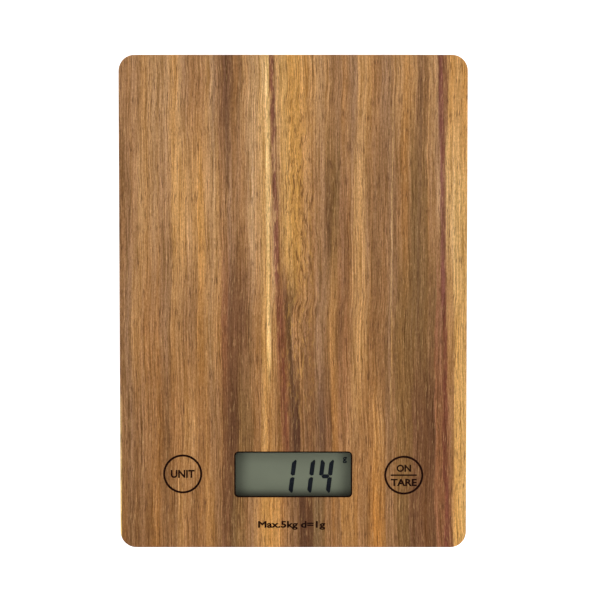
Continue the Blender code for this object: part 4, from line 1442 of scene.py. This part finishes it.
@dataclass
class Platform:
    """The board, with its window, its burnt marks and its pockets underneath."""

    corner: float = 6.5 * MM
    ease: float = 0.7 * MM
    window: tuple[float, float, float] = (48.1 * MM, 18.8 * MM, 1.8 * MM)
    window_at: Point = (0.0, -70.0 * MM)
    window_depth: float = 2 * MM
    scorch: float = 0.5 * MM
    window_lean: float = 0.3 * MM
    engraving: float = 0.12 * MM
    above: float = 1 * MM
    key_x: float = 45.0 * MM
    unit_y: float = -69.8 * MM
    tare_y: float = -70.3 * MM
    key_ring: float = 7.95 * MM
    ring_line: float = 0.85 * MM
    key_bar: tuple[float, float, float] = (10.7 * MM, 0.6 * MM, 0.1 * MM)
    words: tuple[Word, ...] = (
        Word("unit_word", "UNIT", (9.7 * MM, 3.3 * MM), (-45.0 * MM, -69.8 * MM), 0.034),
        Word("on_word", "ON", (5.9 * MM, 3.0 * MM), (45.0 * MM, -67.5 * MM), 0.036),
        Word("tare_word", "TARE", (10.6 * MM, 3.0 * MM), (45.0 * MM, -73.3 * MM), 0.034),
        Word("capacity_line", "Max.5kg d=1g", (27.4 * MM, 3.6 * MM), (-0.65 * MM, -90.9 * MM), 0.036),
    )
    seat_gap: float = 0.6 * MM
    seat_corner: float = 1.5 * MM
    pocket_gap: float = 1 * MM
    pocket_corner: float = 2 * MM
    pocket_top: float = 16.6 * MM
    key_pocket: Point = (9 * MM, 17.4 * MM)
    pilot: Point = (1.75 * MM, 18 * MM)
    screw_spread: Point = (55 * MM, 36 * MM)

    def __post_init__(self) -> None:
        """Reads the board's box from the frame."""
        self.low, self.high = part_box("wood_platform")

    def board(self) -> bpy.types.Object:
        """The board without its holes: flat faces and quarter-round edges.

        Returns:
            The board.
        """
        width, length = self.high.x - self.low.x, self.high.y - self.low.y
        bottom = arc((-self.ease, self.low.z + self.ease), self.ease, -90, 0)
        top = arc((-self.ease, self.high.z - self.ease), self.ease, 0, 90)
        rings = []
        for inset, z in bottom + top:
            rings.append((rounded(width + 2 * inset, length + 2 * inset, self.corner + inset), z))
        return stacked("platform_board", rings)

    def marks(self) -> list[bpy.types.Object]:
        """Cutters of the burnt marks: a ring and words at each key, and the capacity line.

        Returns:
            The cutters.
        """
        low, high = self.high.z - self.engraving, self.high.z + self.above
        inner = self.key_ring - self.ring_line
        outer = self.key_ring
        ring = [(outer, low), (outer, high), (inner, high), (inner, low), (outer, low)]
        width, length, corner = self.key_bar
        bar = rounded(width, length, corner, 2, (self.key_x, self.tare_y))
        tools = [
            turned("unit_ring", ring, (-self.key_x, self.unit_y), 96),
            turned("tare_ring", ring, (self.key_x, self.tare_y), 96),
        ]
        for word in self.words:
            tools.append(lettering(word.name, word.text, word.size, word.at, (low, high), word.weight))
        tools.insert(-1, stacked("key_bar", [(bar, low), (bar, high)]))
        return tools

    def window_cutter(self) -> bpy.types.Object:
        """Cutter of the window, whose walls draw in by the scorch and lean a little to the front.

        Returns:
            The cutter.
        """
        wide, long, corner = self.window
        rings = []
        for drop, share in ((1.5 * self.window_depth, 1.0), (self.window_depth, 1.0), (-self.above, -0.5)):
            inset = share * self.scorch
            middle = (self.window_at[0], self.window_at[1] - share * self.window_lean)
            outline = rounded(wide - 2 * inset, long - 2 * inset, corner - inset, 10, middle)
            rings.append((outline, self.high.z - drop))
        return stacked("window", rings)

    def pocket(self, node: str, middle: Point, gap: float, corner: float, top: float) -> bpy.types.Object:
        """Cutter of a pocket in the underside that clears a node.

        Args:
            node: the node that sits in it.
            middle: its middle.
            gap: how much wider it is than the node, in all.
            corner: its corner radius.
            top: its height.

        Returns:
            The cutter.
        """
        low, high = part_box(node)
        outline = rounded(high.x - low.x + gap, high.y - low.y + gap, corner, 6, middle)
        return stacked(f"{node}_pocket", [(outline, self.low.z - self.above), (outline, top)])

    def bore(self, name: str, size: Point, at: Point, steps: int) -> bpy.types.Object:
        """Cutter of a blind hole in the underside.

        Args:
            name: the cutter's name.
            size: the hole's radius and the height of its end.
            at: its axis.
            steps: its number of sides.

        Returns:
            The cutter.
        """
        radius, top = size
        below = self.low.z - self.above
        return turned(name, [(0, below), (radius, below), (radius, top), (0, top)], at, steps)

    def recesses(self) -> list[bpy.types.Object]:
        """Cutters of what is milled into the underside.

        Returns:
            The cutters.
        """
        lens_top = self.high.z - self.window_depth
        behind = (0.0, middle_of("lcd_frame").y)
        tools = [
            self.pocket("window_lens", self.window_at, self.seat_gap, self.seat_corner, lens_top),
            self.pocket("lcd_frame", behind, self.pocket_gap, self.pocket_corner, self.pocket_top),
        ]
        for x in (-self.key_x, self.key_x):
            tools.append(self.bore("key_pocket", self.key_pocket, (x, self.window_at[1]), 48))
        for side_x, side_y in CORNERS.values():
            spot = (side_x * self.screw_spread[0], side_y * self.screw_spread[1])
            tools.append(self.bore("pilot_hole", self.pilot, spot, 24))
        return tools

    def build(self, palette: Palette) -> None:
        """Makes the board in place of the frame's.

        Args:
            palette: the finishes.
        """
        wood, char = palette.looks["acacia"], Char().material()
        board = painted(self.board(), wood)
        window = painted(self.window_cutter(), char)
        milled = [painted(tool, wood) for tool in self.recesses()]
        burnt = [painted(tool, char) for tool in self.marks()]
        palette.put(cut(board, [window, *milled, *burnt]), "acacia", "wood_platform")


# ---------------------------------------------------------------- display


@dataclass
class Display:
    """The window lens, the two glasses, the digits and the module's frame."""

    digit_height: float = 13.6 * MM
    stroke: float = 1.8 * MM
    digit_width: float = 5.4 * MM
    slant: float = math.radians(7.3)
    digits_y: float = -71.4 * MM
    digit_ends: tuple[tuple[str, float], ...] = (("1", 1.45 * MM), ("1", 9.1 * MM), ("4", 16.75 * MM))
    unit: Word = Word("display_unit", "g", (1.7 * MM, 2.6 * MM), (21.1 * MM, -64.7 * MM), 0.03)
    rounding: tuple[tuple[str, str, float], ...] = (
        ("window_lens", "clear_acrylic", 0.12 * MM),
        ("lcd_front_glass", "lcd_glass", 0.08 * MM),
        ("lcd_rear_glass", "lcd_glass", 0.08 * MM),
        ("lcd_frame", "black_abs", 0.2 * MM),
        ("zebra_connector", "silicone", 0.1 * MM),
    )

    def __post_init__(self) -> None:
        """Reads the height of the print from the frame."""
        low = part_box("lcd_front_glass")[1].z + PRINT_LIFT
        self.print_heights = (low, low + 2 * PRINT_LIFT)

    def upright(self, side: int, upper: bool) -> list[Point]:
        """Outline of an upright segment.

        Args:
            side: 1 for the right-hand stroke, -1 for the left-hand one.
            upper: whether it is the upper one.

        Returns:
            The outline, about the digit's middle.
        """
        half, outer = self.digit_height / 2, self.digit_width / 2
        inner = outer - self.stroke
        points = [
            (outer, 0.55 * MM),
            (outer, half - 0.5 * MM),
            (outer - 0.35 * MM, half),
            (outer - 0.75 * MM, half - 0.1 * MM),
            (inner, half - 1.25 * MM),
            (inner, 0.95 * MM),
            (outer - self.stroke * 0.55, 0.3 * MM),
        ]
        return [(side * x, y if upper else -y) for x, y in points]

    def crossbar(self) -> list[Point]:
        """Outline of the middle segment, a short lens.

        Returns:
            The outline, about the digit's middle.
        """
        reach, half = self.digit_width / 2 - self.stroke + 0.75 * MM, self.stroke * 0.46
        flat = reach * 0.62
        return [(reach, 0.0), (flat, half), (-flat, half), (-reach, 0.0), (-flat, -half), (flat, -half)]

    def segments(self) -> bpy.types.Object:
        """All switched-on segments as one piece of thin plates.

        Returns:
            The piece.
        """
        low, high = self.print_heights
        lean = math.tan(self.slant)
        shape = bmesh.new()
        for digit, end in self.digit_ends:
            middle = end - self.digit_width / 2 - lean * self.digit_height / 2
            parts = [self.upright(1, True), self.upright(1, False)]
            if digit == "4":
                parts += [self.upright(-1, True), self.crossbar()]
            for part in parts:
                outline = [(middle + x + lean * y, self.digits_y + y) for x, y in part]
                add_prism(shape, [(outline, low), (outline, high)])
        return solid("display_digits", shape)

    def build(self, palette: Palette) -> None:
        """Makes the display's pieces.

        Args:
            palette: the finishes.
        """
        ink = SegmentInk().material()
        palette.put(painted(self.segments(), ink), "lcd_glass")
        unit = self.unit
        letter = lettering(unit.name, unit.text, unit.size, unit.at, self.print_heights, unit.weight)
        palette.put(painted(letter, ink), "lcd_glass")
        for node, slot, width in self.rounding:
            palette.put(refined(node, width), slot, node)


# ---------------------------------------------------------------- tray and battery


@dataclass
class Tray:
    """The moulded tray, its label and the marks that its mould leaves."""

    pin_radius: float = 1.9 * MM
    pin_height: float = 0.06 * MM
    pin_spots: tuple[Point, ...] = (
        (0, 14), (0, 66), (30, 10), (52, 10), (14, -58), (40, -50), (26, -84), (56, 58)
    )
    ridge_count: int = 4
    ridge_pitch: float = 1.1 * MM
    ridge_start: float = 7.2 * MM
    ridge: tuple[float, float, float] = (9 * MM, 0.5 * MM, 0.3 * MM)
    label_rounding: float = 0.03 * MM

    def pin_marks(self, palette: Palette) -> bpy.types.Object:
        """Round marks of the ejector pins, on both sides of the tray's middle.

        Args:
            palette: the finishes.

        Returns:
            The piece.
        """
        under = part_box("base_shell")[0].z
        spots = {(side * x * MM, y * MM, under) for x, y in self.pin_spots for side in (-1, 1)}
        pattern = Pattern("ejector_pin_marks")
        radius = pattern.given("Radius", self.pin_radius)
        height = pattern.given("Height", 2 * self.pin_height)
        sockets = {"Vertices": 28, "Radius": radius, "Depth": height}
        disc = pattern.value("GeometryNodeMeshCylinder", None, sockets)
        pins = pattern.on_points(pattern.host(), disc)
        return pattern.piece(pins, palette.looks["black_abs"], sorted(spots))

    def scoop_ridges(self, palette: Palette) -> bpy.types.Object:
        """Short ridges in front of the finger scoop.

        Args:
            palette: the finishes.

        Returns:
            The piece.
        """
        start = (0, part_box("battery_door")[1].y + self.ridge_start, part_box("base_shell")[0].z)
        pattern = Pattern("scoop_ridges")
        line = pattern.line(self.ridge_count, start, (0, self.ridge_pitch, 0))
        width, length, height = self.ridge
        block = pattern.block(pattern.given("Width", width), length, height, 6)
        return pattern.piece(pattern.on_points(line, block), palette.looks["black_abs"])

    def build(self, palette: Palette) -> None:
        """Makes the tray's pieces.

        Args:
            palette: the finishes.
        """
        palette.put(refined("base_shell"), "black_abs", "base_shell")
        palette.put(self.pin_marks(palette), "black_abs")
        palette.put(self.scoop_ridges(palette), "black_abs")
        palette.put(refined("rating_label", self.label_rounding), "label_film", "rating_label")


@dataclass
class Battery:
    """The coin cell, its contacts and leads, and the door over it."""

    edge: float = 0.35 * MM
    cap_inset: float = 1.2 * MM
    can_drop: float = 0.6 * MM
    groove: float = 0.85 * MM
    dish: float = 0.08 * MM
    dish_inset: Point = (2.6 * MM, 2.3 * MM)
    cap_dish: Point = (1.6 * MM, 0.05 * MM)
    plus: Point = (1.7 * MM, 0.3 * MM)
    plus_depth: float = 0.14 * MM
    rib_count: int = 5
    rib_pitch: float = 0.9 * MM
    rib_start: float = 8.6 * MM
    rib: tuple[float, float, float] = (6.2 * MM, 0.42 * MM, 0.24 * MM)
    contact_rounding: float = 0.05 * MM
    door_rounding: float = 0.12 * MM

    def cell(self) -> bpy.types.Object:
        """The coin cell: can below, groove and smaller cap above, with a plus sign in the can.

        Returns:
            The cell.
        """
        low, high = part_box("coin_cell")
        centre = middle_of("coin_cell")
        spot = (centre.x, centre.y)
        radius, edge = (high.x - low.x) / 2, self.edge
        cap, crown = radius - self.cap_inset, high.z - self.cap_dish[1]
        profile = [(0, low.z + self.dish), (radius - self.dish_inset[0], low.z + self.dish)]
        profile += [(radius - self.dish_inset[1], low.z)]
        profile += arc((radius - edge, low.z + edge), edge, -90, 0)
        profile += arc((radius - 2 * edge, high.z - self.can_drop - edge), 2 * edge, 0, 80)
        profile += [(cap + 0.15 * MM, high.z - self.can_drop - 0.02 * MM)]
        profile += [(cap + 0.1 * MM, high.z - self.groove), (cap, high.z - self.groove)]
        profile += arc((cap - edge, high.z - edge), edge, 0, 90)
        profile += [(cap - self.cap_dish[0], crown), (0, crown)]
        made = turned("coin_cell_can", profile, spot, 96)
        arm, thin = self.plus
        bars = []
        for name, wide, tall in (("plus_across", arm, thin), ("plus_upright", thin, arm)):
            outline = rounded(2 * wide, 2 * tall, 0.2 * MM, 3, spot)
            bars.append(stacked(name, [(outline, low.z - 1 * MM), (outline, low.z + self.plus_depth)]))
        return cut(made, bars)

    def door_grip(self, palette: Palette) -> bpy.types.Object:
        """Ribs across the door's latch end, proud of its outer face.

        Args:
            palette: the finishes.

        Returns:
            The piece.
        """
        low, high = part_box("battery_door")
        pattern = Pattern("battery_door_grip")
        pitch = pattern.given("Pitch", self.rib_pitch)
        offset = pattern.value("ShaderNodeCombineXYZ", sockets={1: pitch})
        line = pattern.line(self.rib_count, (0, high.y - self.rib_start, low.z), offset)
        return pattern.piece(pattern.on_points(line, pattern.block(*self.rib, 4)), palette.looks["black_abs"])

    def build(self, palette: Palette) -> None:
        """Makes the battery's pieces and the door.

        Args:
            palette: the finishes.
        """
        palette.put(self.cell(), "steel", "coin_cell")
        for contact in ("battery_contact_positive", "battery_contact_negative"):
            palette.put(refined(contact, self.contact_rounding), "steel", contact)
        palette.put(refined("battery_lead_positive"), "red_lead", "battery_lead_positive")
        palette.put(refined("battery_lead_negative"), "black_lead", "battery_lead_negative")
        palette.put(refined("battery_door", self.door_rounding), "black_abs", "battery_door", body="door")
        palette.put(self.door_grip(palette), "black_abs", body="door")


# ---------------------------------------------------------------- feet and load cells


@dataclass
class Foot:
    """One foot with its pad, and the load cell over it."""

    corner: str
    flange_reach: float = 1.65 * MM
    flange: float = 1.3 * MM
    shoulder: float = 3.7 * MM
    skirt_edge: float = 0.8 * MM
    socket_gap: float = 0.3 * MM
    flange_edge: float = 0.3 * MM
    socket_depth: float = 1.2 * MM
    socket_edge: float = 0.25 * MM
    stem: float = 3 * MM
    stem_edge: float = 0.5 * MM
    pad_edge: float = 0.5 * MM
    pad_groove: Point = (1.9 * MM, 1.7 * MM)
    tread_blocks: int = 22
    tread_radius: float = 4.3 * MM
    tread_depth: float = 0.35 * MM
    tread_block: Point = (1.7 * MM, 0.7 * MM)
    coat_steps: tuple[Point, ...] = ((0.15, 0.0), (0.0, 0.2), (0.1, 0.5), (0.6, 0.85), (1.3, 1.0))
    coat_corner: float = 1.45 * MM
    plate_rounding: float = 0.12 * MM

    def __post_init__(self) -> None:
        """Reads the foot's place from the frame."""
        middle = middle_of(f"foot_pad_{self.corner}")
        self.at = (middle.x, middle.y)
        self.body = f"foot_{self.corner}"

    def cap(self) -> bpy.types.Object:
        """The moulded cap: skirt with a rounded rim, flange and stem.

        Returns:
            The cap.
        """
        low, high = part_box(f"foot_cap_{self.corner}")
        pad_low, pad_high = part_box(f"foot_pad_{self.corner}")
        flange = (high.x - low.x) / 2
        skirt, socket = flange - self.flange_reach, (pad_high.x - pad_low.x) / 2 + self.socket_gap
        roof, lip, shoulder = low.z + self.socket_depth, low.z + self.socket_edge, low.z + self.shoulder
        top = shoulder + self.flange
        profile = [(0, roof), (socket, roof), (socket, lip)]
        profile += arc((socket + self.socket_edge, lip), self.socket_edge, 180, 270, 3)
        profile += arc((skirt - self.skirt_edge, low.z + self.skirt_edge), self.skirt_edge, -90, 0, 5)
        profile += [(skirt, shoulder), (flange, shoulder)]
        profile += arc((flange - self.flange_edge, top - self.flange_edge), self.flange_edge, 0, 90, 3)
        profile += [(self.stem + 0.6 * MM, top), (self.stem, top + 0.15 * MM)]
        profile += [(self.stem, high.z - self.stem_edge)]
        profile += arc((self.stem - self.stem_edge, high.z - self.stem_edge), self.stem_edge, 0, 90, 4)
        profile += [(0, high.z)]
        return turned(f"foot_cap_{self.corner}_fine", profile, self.at, 72)

    def sole(self) -> bpy.types.Object:
        """The pad's body, with a round groove and a raised rim.

        Returns:
            The body.
        """
        low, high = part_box(f"foot_pad_{self.corner}")
        radius, edge = (high.x - low.x) / 2, self.pad_edge
        face, (groove, rim) = low.z + self.tread_depth, self.pad_groove
        profile = [(0, face), (radius - groove, face), (radius - rim, low.z), (radius - edge, low.z)]
        profile += arc((radius - edge, low.z + edge), edge, -90, 0, 4)
        profile += [(radius, high.z - 0.2 * MM), (radius - 0.2 * MM, high.z), (0, high.z)]
        return turned(f"foot_pad_{self.corner}_sole", profile, self.at, 72)

    def tread(self, palette: Palette) -> bpy.types.Object:
        """Small blocks in two rings on the pad's face.

        Args:
            palette: the finishes.

        Returns:
            The piece.
        """
        pattern = Pattern(f"foot_pad_{self.corner}_tread")
        radius = pattern.given("Ring radius", self.tread_radius)
        depth = pattern.given("Tread depth", self.tread_depth)
        rings = pattern.together([
            pattern.ring(self.tread_blocks, radius),
            pattern.ring(self.tread_blocks // 2, radius / 2.1),
        ])
        block = pattern.block(*self.tread_block, depth * 1.2, 3)
        blocks = pattern.on_points(rings, block, pattern.outward())
        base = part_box(f"foot_pad_{self.corner}")[0].z
        offset = pattern.given("Middle", (*self.at, base + self.tread_depth * 0.6), "NodeSocketVector")
        return pattern.piece(pattern.moved(blocks, offset), palette.looks["foot_rubber"])

    def gauge(self) -> bpy.types.Object:
        """The gauge's coat: a flat pad of silicone with a domed middle.

        Returns:
            The coat.
        """
        node = f"strain_gauge_{self.corner}"
        low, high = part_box(node)
        centre = middle_of(node)
        rings = []
        for inset, rise in self.coat_steps:
            wide, long = high.x - low.x - 2 * inset * MM, high.y - low.y - 2 * inset * MM
            outline = rounded(wide, long, self.coat_corner - inset * MM, 6, (centre.x, centre.y))
            rings.append((outline, low.z + rise * (high.z - low.z)))
        return stacked(f"{node}_coat", rings)

    def build(self, palette: Palette) -> None:
        """Makes the foot's pieces and the load cell's.

        Args:
            palette: the finishes.
        """
        corner = self.corner
        palette.put(self.cap(), "grey_abs", f"foot_cap_{corner}", body=self.body)
        palette.put(self.sole(), "foot_rubber", f"foot_pad_{corner}", body=self.body)
        palette.put(self.tread(palette), "foot_rubber", body=self.body)
        for plate in (f"load_cell_{corner}", f"load_cell_clamp_{corner}"):
            palette.put(refined(plate, self.plate_rounding), "steel", plate)
        palette.put(self.gauge(), "gauge_coat", f"strain_gauge_{corner}")
        palette.put(refined(f"load_cell_lead_{corner}"), "white_lead", f"load_cell_lead_{corner}")


# ---------------------------------------------------------------- electronics


@dataclass
class Electronics:
    """The circuit board with what is soldered to it, and the touch keys."""

    board_rounding: float = 0.06 * MM
    part_rounding: float = 0.15 * MM
    leg_count: int = 8
    leg_pitch: float = 1.1 * MM
    leg: Point = (0.4 * MM, 0.6 * MM)
    leg_bends: tuple[tuple[float, float, float], ...] = (
        (0.25, 0.8, 0.2), (0.5, 0.45, 0.85), (0.95, 0.1, 0.2)
    )
    leg_drop: float = 0.02 * MM
    soldered: tuple[tuple[str, int, int], ...] = (
        ("crystal", 6, 1), ("storage_capacitor", 6, 1), ("unit_touch_pad", 4, 0), ("tare_touch_pad", 4, 0)
    )
    joint_radius: float = 0.85 * MM
    part_rows: tuple[Point, ...] = (
        (-40, 7), (-36, 7), (-32, 7), (-40, -7), (-36, -7), (24, 2), (28, 2), (36, -6), (40, -6), (40, 5),
    )
    small_part: tuple[float, float, float] = (2.0 * MM, 1.25 * MM, 0.55 * MM)
    spring_wire: float = 0.35 * MM
    spring_turns: float = 3.25
    spring_taper: float = 0.85
    pad_dish: Point = (0.8 * MM, 0.08 * MM)
    can_edge: float = 0.3 * MM
    can_foot: Point = (0.8 * MM, 0.1 * MM)
    can_neck: Point = (1.1 * MM, 0.25 * MM)
    blob_steps: int = 9
    blob_power: float = 2.2

    def chip_legs(self, palette: Palette) -> bpy.types.Object:
        """The converter chip's bent legs, along both its long sides.

        Args:
            palette: the finishes.

        Returns:
            The piece.
        """
        low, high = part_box("converter_chip")
        centre = middle_of("converter_chip")
        first = centre.x - (self.leg_count - 1) * self.leg_pitch / 2
        pattern = Pattern("converter_legs")
        width = pattern.given("Leg width", self.leg[0])
        rows = []
        for side in (-1, 1):
            edge = centre.y + side * (high.y - low.y) / 2
            for reach, drop, tall in self.leg_bends:
                block = pattern.block(width, self.leg[1], tall * MM)
                start = (first, edge + side * reach * MM, high.z - self.leg_drop - drop * MM)
                spots = pattern.line(self.leg_count, start, (self.leg_pitch, 0, 0))
                rows.append(pattern.on_points(spots, block))
        return pattern.piece(pattern.together(rows), palette.looks["steel"])

    def solder_joints(self, palette: Palette) -> bpy.types.Object:
        """Solder cones under the board: capacitor, crystal, touch springs and leads.

        Args:
            palette: the finishes.

        Returns:
            The piece.
        """
        board, under = middle_of("main_pcb"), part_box("main_pcb")[0].z
        spots = []
        for node, aside, ahead in self.soldered:
            centre = middle_of(node)
            spots += [(centre.x + side * aside * MM, centre.y + ahead * MM, under) for side in (-1, 1)]
        spots += [(x * 2.5 * MM, board.y + 12.5 * MM, under) for x in range(-4, 5)]
        pattern = Pattern("solder_joints")
        radius = pattern.given("Joint radius", self.joint_radius)
        sockets = {"Vertices": 14, "Side Segments": 3}
        sockets |= {"Radius Top": radius * 0.3, "Radius Bottom": radius, "Depth": radius}
        cone = pattern.value("GeometryNodeMeshCone", None, sockets)
        turn = pattern.given("Turn", (math.pi, 0.0, 0.0), "NodeSocketVector")
        return pattern.piece(pattern.on_points(pattern.host(), cone, turn), palette.looks["steel"], spots)

    def small_parts(self, palette: Palette) -> bpy.types.Object:
        """Chip resistors and capacitors under the board, in loose rows.

        Args:
            palette: the finishes.

        Returns:
            The piece.
        """
        centre, under = middle_of("main_pcb"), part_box("main_pcb")[0].z
        spots = [(centre.x + x * MM, centre.y + y * MM, under - 0.3 * MM) for x, y in self.part_rows]
        pattern = Pattern("chip_resistors")
        size = pattern.given("Size", self.small_part, "NodeSocketVector")
        sockets = {"Size": size, "Vertices X": 4, "Vertices Y": 3}
        block = pattern.value("GeometryNodeMeshCube", None, sockets)
        return pattern.piece(pattern.on_points(pattern.host(), block), palette.looks["epoxy"], spots)

    def touch_spring(self, key: str, palette: Palette) -> bpy.types.Object:
        """The spring of a touch key, which narrows towards its pad.

        Args:
            key: the key's name.
            palette: the finishes.

        Returns:
            The piece.
        """
        node = f"{key}_touch_spring"
        low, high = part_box(node)
        centre = middle_of(node)
        pattern = Pattern(f"{node}_coil")
        wire = pattern.given("Wire radius", self.spring_wire)
        radius = (high.x - low.x) / 2 - self.spring_wire
        helix = {
            "Resolution": 30,
            "Rotations": pattern.given("Turns", self.spring_turns),
            "Start Radius": pattern.given("Radius", radius),
            "End Radius": radius * self.spring_taper,
            "Height": high.z - low.z - 2 * self.spring_wire,
        }
        coil = pattern.value("GeometryNodeCurveSpiral", None, helix)
        sockets = {"Resolution": 10, "Radius": wire}
        section = pattern.value("GeometryNodeCurvePrimitiveCircle", {"mode": "RADIUS"}, sockets)
        sockets = {"Curve": coil, "Profile Curve": section, "Fill Caps": True}
        tube = pattern.value("GeometryNodeCurveToMesh", None, sockets)
        spot = (centre.x, centre.y, low.z + self.spring_wire)
        offset = pattern.given("Middle", spot, "NodeSocketVector")
        return pattern.piece(pattern.moved(tube, offset), palette.looks["steel"])

    def touch_pad(self, key: str) -> bpy.types.Object:
        """The copper pad of a touch key, with a dished rim.

        Args:
            key: the key's name.

        Returns:
            The pad.
        """
        node = f"{key}_touch_pad"
        low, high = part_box(node)
        centre = middle_of(node)
        radius, (inset, dish) = (high.x - low.x) / 2, self.pad_dish
        profile = [(0, low.z), (radius - 0.15 * MM, low.z), (radius, low.z + 0.1 * MM), (radius, high.z)]
        profile += [(radius - inset + 0.2 * MM, high.z), (radius - inset, high.z - dish), (0, high.z - dish)]
        return turned(f"{node}_disc", profile, (centre.x, centre.y), 64)

    def capacitor(self) -> bpy.types.Object:
        """The storage capacitor: sleeve, crimped neck and scored end.

        Returns:
            The capacitor.
        """
        low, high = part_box("storage_capacitor")
        centre = middle_of("storage_capacitor")
        radius, edge, (inset, lift) = (high.x - low.x) / 2, self.can_edge, self.can_foot
        neck, crimp = high.z - self.can_neck[0], self.can_neck[1]
        profile = [(0, low.z + lift), (radius - inset, low.z + lift), (radius - inset, low.z)]
        profile += arc((radius - edge, low.z + edge), edge, -90, 0)
        profile += [(radius, neck - edge), (radius - crimp, neck), (radius, neck + edge)]
        profile += [(radius, high.z - edge / 2), (radius - edge / 2, high.z), (0, high.z)]
        return turned("storage_capacitor_can", profile, (centre.x, centre.y), 48)

    def blob(self) -> bpy.types.Object:
        """The epoxy blob over the controller chip.

        Returns:
            The blob.
        """
        low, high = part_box("controller_chip")
        centre = middle_of("controller_chip")
        radius, height = (high.x - low.x) / 2, high.z - low.z
        profile = [(0, low.z)]
        for step in range(1, self.blob_steps + 1):
            share = step / self.blob_steps
            profile.append((radius * share, high.z - height * (1 - share**self.blob_power)))
        profile.append((0, high.z))
        return turned("controller_chip_blob", profile, (centre.x, centre.y), 48)

    def build(self, palette: Palette) -> None:
        """Makes the board's pieces and the touch keys.

        Args:
            palette: the finishes.
        """
        palette.put(refined("main_pcb", self.board_rounding), "fibreglass", "main_pcb")
        palette.put(refined("converter_chip", self.part_rounding), "epoxy", "converter_chip")
        palette.put(refined("crystal", self.part_rounding), "steel", "crystal")
        palette.put(self.blob(), "epoxy", "controller_chip")
        palette.put(self.capacitor(), "black_abs", "storage_capacitor")
        palette.put(self.chip_legs(palette), "steel")
        palette.put(self.solder_joints(palette), "steel")
        palette.put(self.small_parts(palette), "epoxy")
        for key in ("unit", "tare"):
            palette.put(self.touch_pad(key), "copper", f"{key}_touch_pad")
            palette.put(self.touch_spring(key, palette), "steel", f"{key}_touch_spring")


# ---------------------------------------------------------------- screws


@dataclass(frozen=True)
class Screw:
    """Sizes of one kind of screw, and the nodes that it stands for."""

    name: str
    head_radius: float
    head_height: float
    shank_radius: float
    length: float
    nodes: tuple[str, ...]
    upwards: bool = False
    thread_pitch: float = 0.7 * MM
    core_share: float = 0.78
    rim: float = 0.15 * MM
    crown_steps: int = 6
    twist: float = 0.4

    def profile(self) -> list[Point]:
        """Outline of the screw: point, thread, neck, rim and domed head.

        Returns:
            The (radius, height) points, with the head's seat at height 0.
        """
        radius, core, pitch = self.shank_radius, self.shank_radius * self.core_share, self.thread_pitch
        points = [(0, -self.length), (core * 0.5, -self.length)]
        for turn in range(int((self.length - 2.2 * radius) / pitch)):
            z = -self.length + 1.6 * radius + turn * pitch
            points += [(core, z), (radius, z + pitch * 0.4), (radius, z + pitch * 0.55)]
        points += [(core, -0.6 * radius), (radius * 0.95, 0), (self.head_radius - self.rim, 0)]
        side = self.head_height * 0.4
        points += [(self.head_radius, self.rim), (self.head_radius, side)]
        for step in range(1, self.crown_steps):
            angle = math.radians(90 * step / self.crown_steps)
            reach = self.head_radius * (0.55 + 0.45 * math.cos(angle))
            points.append((reach, side + (self.head_height - side) * math.sin(angle)))
        return [*points, (0, self.head_height)]

    def shape(self) -> bpy.types.Object:
        """One screw that points down, with a cross recess in its head.

        Returns:
            The screw.
        """
        made = turned(f"{self.name}_blank", self.profile(), steps=28)
        long, short = self.head_radius * 0.6, self.head_radius * 0.15
        low, high = self.head_height * 0.35, self.head_height + 1 * MM
        slots = []
        for wide, tall in ((long, short), (short, long)):
            foot = rounded(1.3 * wide, 1.3 * tall, 0.1 * short, 2)
            mouth = rounded(2 * wide, 2 * tall, 0.1 * short, 2)
            slots.append(stacked("slot", [(foot, low), (mouth, self.head_height), (mouth, high)]))
        return cut(made, slots)

    def spots(self) -> list[Vector]:
        """Where the screws go.

        Returns:
            The middle of each head's seat.
        """
        found = []
        for node in self.nodes:
            low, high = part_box(node)
            centre = middle_of(node)
            seat = low.z + self.head_height if self.upwards else high.z - self.head_height
            found.append(Vector((centre.x, centre.y, seat)))
        return found

    def piece(self, palette: Palette) -> bpy.types.Object:
        """All screws of this kind as one piece.

        Args:
            palette: the finishes.

        Returns:
            The piece.
        """
        source = self.shape()
        pattern = Pattern(self.name)
        blank = pattern.given("Screw", source, "NodeSocketObject")
        turn = pattern.given("Turn", (math.pi if self.upwards else 0.0, 0.0, self.twist), "NodeSocketVector")
        instance = pattern.value("GeometryNodeObjectInfo", None, {0: blank}, "Geometry")
        placed = pattern.on_points(pattern.host(), instance, turn)
        made = pattern.piece(placed, palette.looks["steel"], self.spots())
        bpy.data.objects.remove(source)
        return made


@dataclass
class Hardware:
    """Every screw of the scale."""

    clamp: Screw = Screw(
        "clamp_screws", 2.2 * MM, 1.2 * MM, 1.0 * MM, 4.0 * MM, tuple(f"clamp_screw_{c}" for c in CORNERS)
    )
    board: Screw = Screw(
        "board_screws", 1.9 * MM, 1.1 * MM, 0.85 * MM, 5.5 * MM, tuple(f"pcb_screw_{i}" for i in range(1, 5))
    )
    platform: Screw = Screw(
        "platform_screws", 2.8 * MM, 2.0 * MM, 1.45 * MM, 9.0 * MM,
        tuple(f"platform_screw_{i}" for i in range(1, 5)), upwards=True,
    )

    def build(self, palette: Palette) -> None:
        """Makes each kind of screw.

        Args:
            palette: the finishes.
        """
        for kind in (self.clamp, self.board, self.platform):
            palette.put(kind.piece(palette), "steel", *kind.nodes)


def main() -> None:
    """Builds the scene."""
    logging.basicConfig(level=logging.INFO, format="%(name)s: %(message)s")
    studio = Studio()
    studio.camera(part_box("wood_platform")[1].z)
    studio.floor()
    studio.lights()
    palette = Palette()
    feet = [Foot(corner) for corner in CORNERS]
    for part in (Platform(), Display(), Tray(), Battery(), *feet, Electronics(), Hardware()):
        log.info("building %s", type(part).__name__)
        part.build(palette)


if __name__ == "__main__":
    main()
